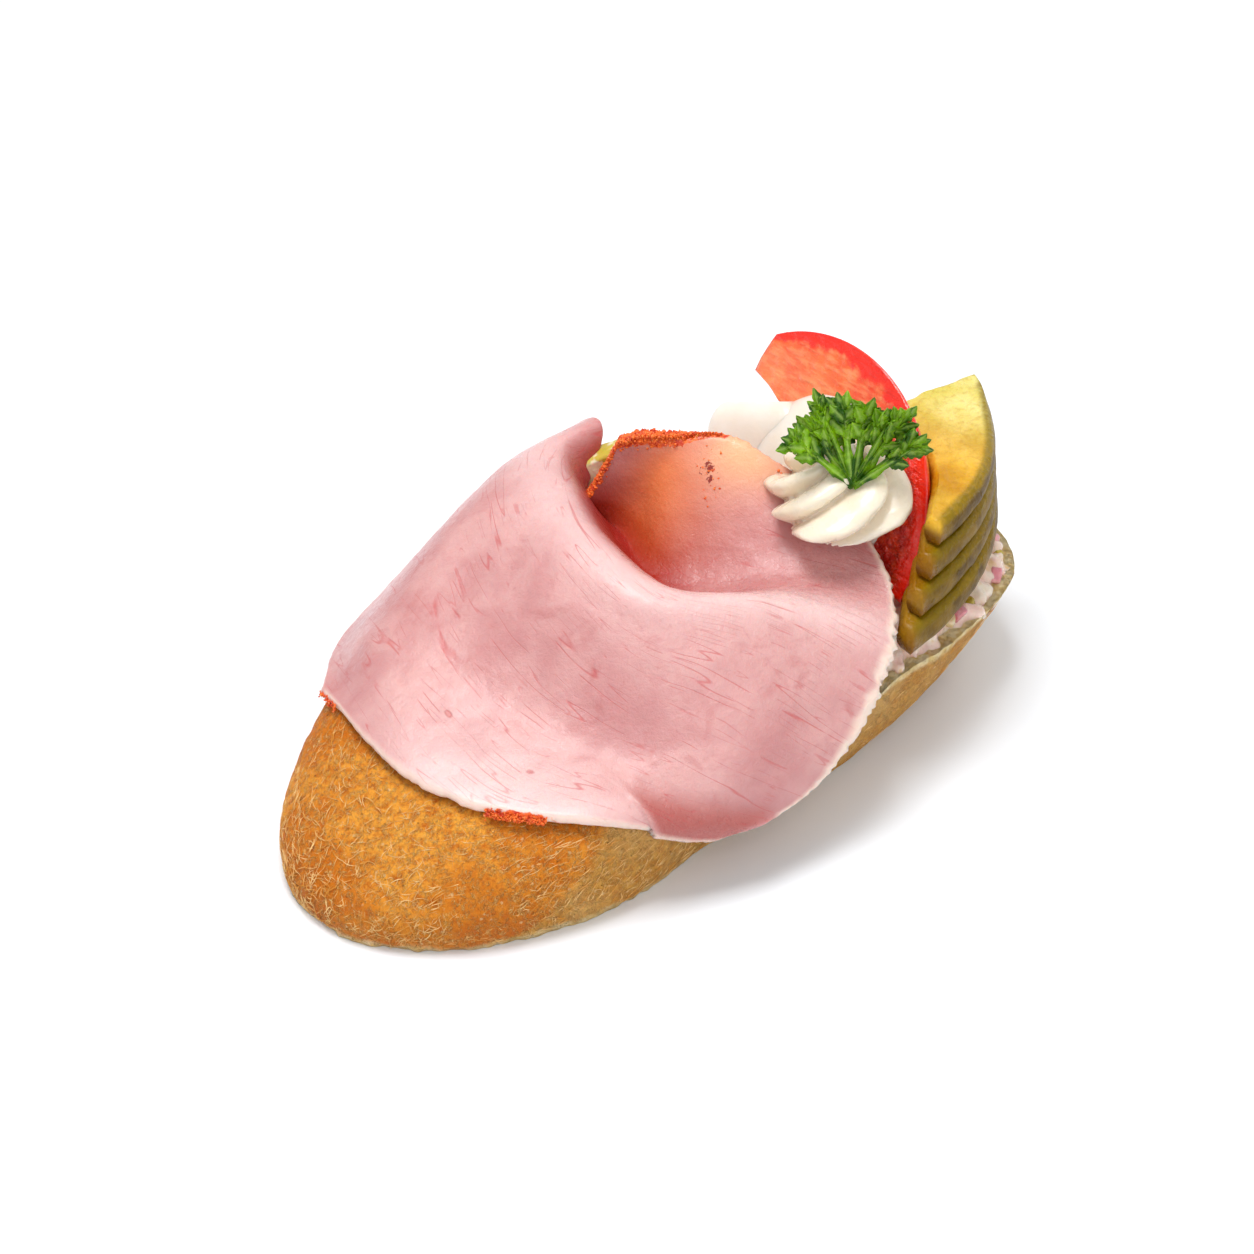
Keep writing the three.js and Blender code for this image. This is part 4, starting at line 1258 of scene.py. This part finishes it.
def tomato_crescent():
    """Rings round the section of the crescent, and masks for skin, pulp and pale flesh."""
    along, face, wall = TOMATO_GRID.values()
    to_skin, to_core = np.linspace(0, 1, face), np.linspace(1, 0, face)
    walls = np.linspace(0, 1, wall + 2)[1:-1]
    inward = np.concatenate([to_skin, np.ones(wall), to_core, np.zeros(wall)])
    depth = np.concatenate([np.zeros(face), walls, np.ones(face), walls[::-1]])
    t, r = np.meshgrid(np.linspace(0, 1, along), inward, indexing="ij")
    d = np.broadcast_to(depth, t.shape)
    width = np.interp(t, *TOMATO_FLESH)
    slope = np.minimum(TOMATO["slope"], 0.6 * width) * d
    outer = TOMATO["radius"] - slope - 0.5 * np.abs(2 * d - 1) ** 6
    inner = TOMATO["radius"] - width
    start = mix(TOMATO["inner_start"], TOMATO["start"], r)
    angle = np.radians(mix(start, TOMATO["end"], t))
    radius = mix(inner, outer, r)
    side = TOMATO["centre"][0] + radius * np.cos(angle)
    up = TOMATO["centre"][1] + radius * np.sin(angle)
    points = on_tomato(side, up, d * TOMATO["thickness"])
    pulp = step(0.42, 0.62, t + 0.1 * lumps(points, 4, 61))
    pulp = pulp * step(0.97, 0.86, r) * step(0.5, 0.2, d)
    ridges = 0.12 * lumps(points * (1, 1.6, 0.7), 1.6, 62) + pulp * 0.3 * lumps(points, 1.2, 63)
    ridges += pulp * 0.15 * lumps(points, 0.6, 64)
    on_face = step(0.25, 0.0, d) * step(0.99, 0.93, r)
    points = on_tomato(side, up, d * TOMATO["thickness"] - ridges * on_face)
    skin = np.maximum(step(0.955, 0.99, r), step(0.9, 1.0, r) * 0.6)
    flesh = hump(r, 0.3, 0.35) * step(0.45, 0.1, t)
    rind = step(0.72, 0.97, r + 0.03 * lumps(points, 3, 65))
    masks = dict(skin=skin, pulp=pulp, flesh=flesh, rind=rind)
    return points, {k: np.append(m.ravel(), [0, 0]) for k, m in masks.items()}


tomato_rings, tomato_masks = tomato_crescent()
tomato_solid = tube(tomato_rings)
make_piece(
    "tomato_slice", tomato_solid, tomato_finish(), ["tomato_wedge"], tomato_masks
)

# %% [markdown]
# ## Gherkin
# Four lengthwise slices of a pickled gherkin lie on each other, held together at one end
# and fanned at the other, so a strip of each shows under the one above. Each slice is an
# outline with a skin side and a cut side. Its flat faces are rings that shrink towards the
# middle, so that they have enough points to be uneven. The slices are laid one by one, because
# a physics run would let the fan slide apart.

# %% Gherkin finish


def gherkin_finish():
    """Golden wet flesh, paler at the tip, in a dull olive skin with faint warts, and painted
    shade on the undersides.
    """
    f = Finish(
        "pickled_gherkin",
        Subsurface_Weight=0.25,
        Subsurface_Radius=(1.0, 0.7, 0.2),
        Subsurface_Scale=1.2 * MM,
        Specular_IOR_Level=0.16,
        Coat_Weight=0.08,
        Coat_Roughness=0.15,
    )
    skin, rim, far = f.mask("skin"), f.mask("rim"), f.mask("far")
    broad = f.noise(0.12, detail=3.0)
    fibre = f.noise(1.0, detail=4.0, rough=0.6)
    gold = f.two_tone(broad, 0.35, 0.65, "c48a08", "e4b438")
    pale = f.two_tone(broad, 0.35, 0.65, "d6c75c", "e8dc88")
    base = f.blend(far, gold, pale)
    base = f.blend(f.between(fibre, 0.45, 0.7, 0.0, 0.35), base, tint("b07c10"))
    # under is painted shade: dark brown on the underside, the lower wall and the end covered by
    # the slice above
    base = f.blend(f.math("MULTIPLY", f.mask("under"), 0.9), base, tint("704404"))
    green = f.math("MULTIPLY", rim, f.between(fibre, 0.1, 0.6, 0.5, 0.9))
    base = f.blend(green, base, tint("806a08"))
    olive = f.two_tone(f.noise(0.25, detail=4.0), 0.35, 0.65, "5c4203", "866610")
    base = f.blend(skin, base, olive)
    wart = f.cells(0.3)
    warts = f.between(wart, 0.05, 0.14, 1.0, 0.0)
    warts = f.math("MULTIPLY", warts, skin)
    base = f.blend(f.math("MULTIPLY", warts, 0.15), base, tint("8a6a10"))
    height = f.math("ADD", fibre, warts)
    rough = f.between(f.noise(0.7), 0.4, 0.6, 0.12, 0.3)
    rough = f.math("MAXIMUM", rough, f.math("MULTIPLY", skin, 0.5))
    return f.finish(base, rough, f.bump(height, 0.3))


# %% Gherkin shape
GHERKIN = dict(
    slices=4, foot=21.0, step=4.9, tip_step=2.7, bulge=9.5, corner=(8, -6.8), widest=(16, -10),
    waist=(24, -3.5, 0.2), end=2.4, short=(4, 12), rise=8.5, swing=1.2,
)
PIECE_GAP = 0.35
GHERKIN_TIP = np.array([61.0, -16.5])
GHERKIN_NEAR = np.array([12.0, -32.5])
SLICE_MIDDLE = (22.0, 2.0)  # where the rings of the flat faces shrink to
SKIN_POINTS, CUT_POINTS = 120, 60
FACE_RINGS = dict(under=14, wall=16, top=30)


def gherkin_outline(end, length, height, inset):
    """The slice seen from above: along from the tip, across, and how much of it is skin."""
    along = np.linspace(0, end - inset, SKIN_POINTS)
    across = GHERKIN["bulge"] * np.sin(math.pi * along / length) ** 0.8
    across = across - inset * step(0, 10, along)
    last = GHERKIN["bulge"] * math.sin(math.pi * end / length) ** 0.8 - GHERKIN["end"]
    waist, low, high = GHERKIN["waist"]
    corners = [(end, last), (waist, mix(low, high, height)), GHERKIN["widest"], GHERKIN["corner"]]
    corners = np.array(corners + [(0.0, 0.0)])
    cut = smooth_line(corners, np.linspace(0, 1, CUT_POINTS + 2))[1:-1]
    skin = step(0.0, 2.0, along) * step(end, end - 2.5, along)
    along = np.concatenate([along, np.minimum(cut[:, 0], end - inset)])
    across = np.concatenate([across, cut[:, 1] + inset * step(0, 10, cut[:, 0])])
    return along, across, np.concatenate([skin, np.zeros(CUT_POINTS)])


def slice_layers():
    """From the middle of the underside, up the wall, to the middle of the cut face.

    Each layer is its lift from 0 to 1, how far it shrinks, and how far its edge comes in.
    """
    layers = [(0.0, 1 - share, 0.9) for share in np.linspace(0.05, 0.96, FACE_RINGS["under"])]
    for lift in np.linspace(0.0, 1.0, FACE_RINGS["wall"]):
        layers.append((lift, 0.0, 0.6 * max(1 - 2 * lift, 0) ** 3 + 1.1 * lift**5))
    layers += [(1.0, 1 - share, 1.1) for share in np.linspace(0.96, 0.02, FACE_RINGS["top"])]
    return layers


def gherkin_slice(level):
    """One closed slice, with masks for its skin, its green rim, its tip, and painted shade on its
    underside, its lower wall and its covered end.
    """
    length = np.linalg.norm(GHERKIN_NEAR - GHERKIN_TIP)
    axis = (GHERKIN_NEAR - GHERKIN_TIP) / length
    out = np.array([-axis[1], axis[0]])
    height = level / (GHERKIN["slices"] - 1)
    turn = math.radians(GHERKIN["swing"] * (GHERKIN["slices"] - 1 - level))
    end = length - mix(*GHERKIN["short"], height)
    rings, skins, rims, fars, unders = [], [], [], [], []
    for lift, shrink, inset in slice_layers():
        a, b, on_skin = gherkin_outline(end, length, height, inset)
        a = mix(a, mix(a, SLICE_MIDDLE[0], 0.85), shrink)
        b = mix(b, mix(b, SLICE_MIDDLE[1], 0.85), shrink)
        c, s = math.cos(turn), math.sin(turn)
        flat = GHERKIN_TIP + np.outer(a * c - b * s, axis) + np.outer(a * s + b * c, out)
        pitch = mix(GHERKIN["tip_step"], GHERKIN["step"], a / length)
        low = GHERKIN["foot"] + GHERKIN["rise"] * (1 - a / length) + level * pitch
        rings.append(np.column_stack([flat, low + lift * (pitch - PIECE_GAP)]))
        wall = step(0.86, 0.68, lift) if shrink == 0 else 0.0
        skins.append(on_skin * wall)
        rims.append(on_skin * step(0.2, 0.02, shrink) * step(0.3, 0.7, lift))
        fars.append(step(26, 6, a) * step(0.6, 1.0, lift))
        # painted shade: the near end of each lower slice, under the one above, and the lower part
        # of every wall are darkened
        near_end = 0.8 * step(end - 16, end - 5, a) * (level < GHERKIN["slices"] - 1)
        unders.append(np.maximum(step(0.95, 0.3, lift), near_end))
    rings = np.array(rings)
    top = rings[-FACE_RINGS["top"] :]
    top[..., 2] += layered_lumps(top, ((0.16, 2.4, 70 + level), (0.08, 0.9, 75 + level)))
    wall = rings[FACE_RINGS["under"] : FACE_RINGS["under"] + FACE_RINGS["wall"]]
    wall += 0.12 * lumps(wall, 1.8, 80 + level)[..., None]
    masks = dict(skin=skins, rim=rims, far=fars, under=unders)
    masks = {name: np.array(mask) for name, mask in masks.items()}
    masks = {k: np.append(m.ravel(), [0, m[-1].mean()]) for k, m in masks.items()}
    return tube(rings), masks


PICKLED = gherkin_finish()
for level in range(GHERKIN["slices"]):
    solid, slice_masks = gherkin_slice(level)
    node = f"gherkin_slice_{level + 1}"
    make_piece(f"gherkin_{level + 1}", solid, PICKLED, [node], slice_masks)

# %% [markdown]
# ## Mayonnaise
# A star nozzle leaves thick ribs that start outside, swell, and twist up to the middle.
# Here one skin is drawn in rings from foot to peak. Its radius rises on each rib and dips
# in each groove, the ribs turn as they climb, and a few slow waves make them uneven, as a
# hand does. A fine voxel remesh then melts it a little, which rounds every crest.

# %% Mayonnaise


def mayo_finish():
    """Pale cream: glossy, softly lit from inside, with a breath of yellow-green."""
    f = Finish(
        "mayonnaise",
        Subsurface_Weight=0.5,
        Subsurface_Radius=(1.0, 0.85, 0.6),
        Subsurface_Scale=2.0 * MM,
        Specular_IOR_Level=0.5,
        Coat_Weight=0.3,
        Coat_Roughness=0.15,
    )
    base = f.two_tone(f.noise(0.12, detail=2.0), 0.35, 0.65, "e8dac2", "f2e7d3")
    oily = f.between(f.noise(0.16, detail=1.0), 0.6, 0.75, 0.0, 0.4)
    base = f.blend(oily, base, tint("e8e6bd"))
    rough = f.between(f.noise(0.6, detail=2.0), 0.4, 0.6, 0.22, 0.36)
    return f.finish(base, rough, f.bump(f.noise(0.5, detail=2.0), 0.1))


MAYO = dict(x=26, y=-17.4, z=34.2, radius=11.6, height=11.5, ribs=7, twist=1.9)
SLOW_WAVES = 5
MAYO_VOXEL = 0.26
MAYO_RISE = (0, 0.06, 0.2, 0.36, 0.5, 0.62, 0.74, 0.86, 0.96, 1.0)
MAYO_WIDE = (0.62, 0.9, 1.0, 0.97, 0.88, 0.76, 0.6, 0.4, 0.2, 0.04)


def mayo_rosette():
    """Rings from foot to peak; every rib droops and swells a little on its own."""
    dice = np.random.default_rng(91)
    share = np.linspace(0, 1, 130)[:, None]
    angle = np.linspace(0, 2 * math.pi, 400, endpoint=False)[None, :]
    phase = MAYO["ribs"] * (angle - MAYO["twist"] * share**0.9) / 2
    phase = phase + 0.4 * np.sin(angle * 2 + 1) + 0.3 * np.sin(angle * 3 + 4)
    ridge = np.abs(np.sin(phase)) ** 0.6
    ways = dice.normal(size=(SLOW_WAVES, 2))
    sway = sum(w[0] * np.sin(k * angle) + w[1] * np.cos(k * angle) for k, w in enumerate(ways, 2))
    wide = np.interp(share, MAYO_RISE, MAYO_WIDE) * (1 + 0.035 * sway * (1 - share))
    deep = mix(0.44, 0.66, step(0.3, 0.8, share)) * step(0.0, 0.1, share)
    radius = MAYO["radius"] * wide * (1 - deep * (1 - ridge))
    lean = 1.2 * share**2
    z = MAYO["z"] + MAYO["height"] * share + 0.9 * (ridge - 0.5) * step(1.0, 0.4, share)
    x = MAYO["x"] + radius * np.cos(angle) + lean
    y = MAYO["y"] + radius * np.sin(angle)
    points = np.stack(np.broadcast_arrays(x, y, z), -1)
    points = points + 0.12 * lumps(points, 2.2, 92)[..., None]
    return tube(points)


mayo_solid = fused("mayo_melt", [mayo_rosette()], MAYO_VOXEL, 2)
make_piece("mayo_rosette", mayo_solid, mayo_finish(), ["mayonnaise"])

# %% [markdown]
# ## Parsley
# Curly parsley branches into a fan, and every branch ends in small toothed fingers that
# curl. Hair particles or a leaf texture would not survive a close look, so each finger is
# a thin folded blade with a pointed tip, placed by a seeded branching rule.

# %% Parsley


def parsley_finish():
    f = Finish(
        "parsley",
        Subsurface_Weight=0.15,
        Subsurface_Radius=(0.3, 1.0, 0.2),
        Subsurface_Scale=0.5 * MM,
        Specular_IOR_Level=0.3,
    )
    rib = f.mask("rib")
    # the dark and bright greens are partly the leaves' own uneven tone and partly painted shade
    # and painted light, scattered by noise
    base = f.two_tone(f.noise(0.35, detail=3.0), 0.35, 0.65, "265400", "78a804")
    fresh = f.between(f.noise(1.2, detail=2.0), 0.55, 0.75, 0.0, 0.5)
    base = f.blend(fresh, base, tint("9cc428"))
    base = f.blend(f.math("MULTIPLY", rib, 0.55), base, tint("b4d86a"))
    rough = f.between(f.noise(1.0), 0.4, 0.6, 0.25, 0.45)
    return f.finish(base, rough, f.bump(f.noise(1.6, detail=3.0), 0.2))


PARSLEY = dict(x=22.8, y=-21.7, z=42.2, length=15, spread=104)
SPRIG_UP = unit(np.array([0.42, 0.35, 0.84]))
SPRIG_FRONT = unit(np.cross(ACROSS_VIEW, SPRIG_UP))
BRANCHES = ((8, 1.0), (6, 0.88))  # front layer, then back: how many, and share of the length
TIP_LENGTH = 3.6  # the fingers at the end of a branch
SIDE_FINGERS = [(0.62, 1), (0.66, -1), (0.84, 1), (0.86, -1)]  # share along, and which side
LEAF_THICKNESS = 0.11


def blade(root, along, across, length, width, fold, curl, point):
    """A thin folded leaf blade, closed, with a wavy edge and a pointed or blunt tip."""
    rows, columns = 13, 5
    t = np.linspace(0, 1, rows)[:, None]
    s = np.linspace(-1, 1, columns)[None, :]
    normal = np.cross(across, along)
    wide = width * np.sin(np.clip(t * 0.92 + 0.08, 0, 1) ** point * math.pi) ** 0.7
    wide = wide * (1 + 0.22 * np.cos(t * 18))
    lift = fold * np.abs(s) * wide + curl * length * t**2
    grid = root + along * (length * t)[..., None] + across * (s * wide)[..., None]
    grid = grid + normal * lift[..., None]
    top, bottom = grid + normal * LEAF_THICKNESS, grid - normal * LEAF_THICKNESS
    loop = np.concatenate([top, bottom[:, ::-1]], 1)
    rib = np.concatenate([1 - np.abs(s) + 0 * t, 1 - np.abs(s[:, ::-1]) + 0 * t], 1)
    rib = step(0.5, 1.0, rib)
    points, faces = tube(loop)
    return points, faces, np.append(rib.ravel(), [0, 0])


def finger_ways(dice, along, across, angle, tip):
    """Directions of a finger and of its width, turned by an angle and tipped at random."""
    normal = np.cross(across, along)
    out = normal * dice.uniform(-tip, tip)
    way = unit(along * math.cos(angle) + across * math.sin(angle) + out)
    return way, unit(np.cross(way, normal))


def frond(dice, root, along, across, length):
    """One branch: a narrow ribbon, side fingers, and a hand of fingers at its end."""
    blades = [blade(root, along, across, length, 0.62, 0.5, dice.uniform(-0.05, 0.08), 0.7)]
    for share, side in SIDE_FINGERS:
        angle = side * dice.uniform(0.45, 0.85)
        way, wing = finger_ways(dice, along, across, angle, 0.35)
        size = dice.uniform(3.0, 4.6) * (1.1 - 0.3 * share)
        at = root + along * length * share
        blades.append(blade(at, way, wing, size, 0.85, 0.45, dice.uniform(-0.15, 0.25), 1.1))
    for angle in np.linspace(-0.75, 0.75, 4):
        angle += dice.uniform(-0.12, 0.12)
        way, wing = finger_ways(dice, along, across, angle, 0.3)
        at = root + along * length * dice.uniform(0.88, 0.98)
        size = dice.uniform(2.8, 4.2)
        blades.append(blade(at, way, wing, size, 0.8, 0.4, dice.uniform(-0.1, 0.25), 1.2))
    return blades


def make_parsley():
    """Two layers of branches that spread like a fan from one root."""
    dice = np.random.default_rng(95)
    root = np.array([PARSLEY["x"], PARSLEY["y"], PARSLEY["z"]])
    blades = []
    for layer, (count, reach) in enumerate(BRANCHES):
        for k in range(count):
            share = k / (count - 1) - 0.5
            angle = math.radians(share * PARSLEY["spread"]) + dice.uniform(-0.05, 0.05)
            way = SPRIG_UP * math.cos(angle) + ACROSS_VIEW * math.sin(angle)
            way = unit(way + SPRIG_FRONT * ((layer - 1) * -0.22 + dice.uniform(-0.12, 0.12)))
            wing = unit(np.cross(way, SPRIG_FRONT))
            tilt = dice.uniform(-0.7, 0.7)
            face = np.cross(wing, way)
            wing = wing * math.cos(tilt) + face * math.sin(tilt)
            length = (PARSLEY["length"] - TIP_LENGTH) * reach * dice.uniform(0.88, 1.04)
            blades += frond(dice, root, way, wing, length)
    solid = gather([(points, faces) for points, faces, _ in blades])
    rib = np.concatenate([marks for _, _, marks in blades])
    make_piece("parsley_sprig", solid, parsley_finish(), ["parsley"], dict(rib=rib))


make_parsley()
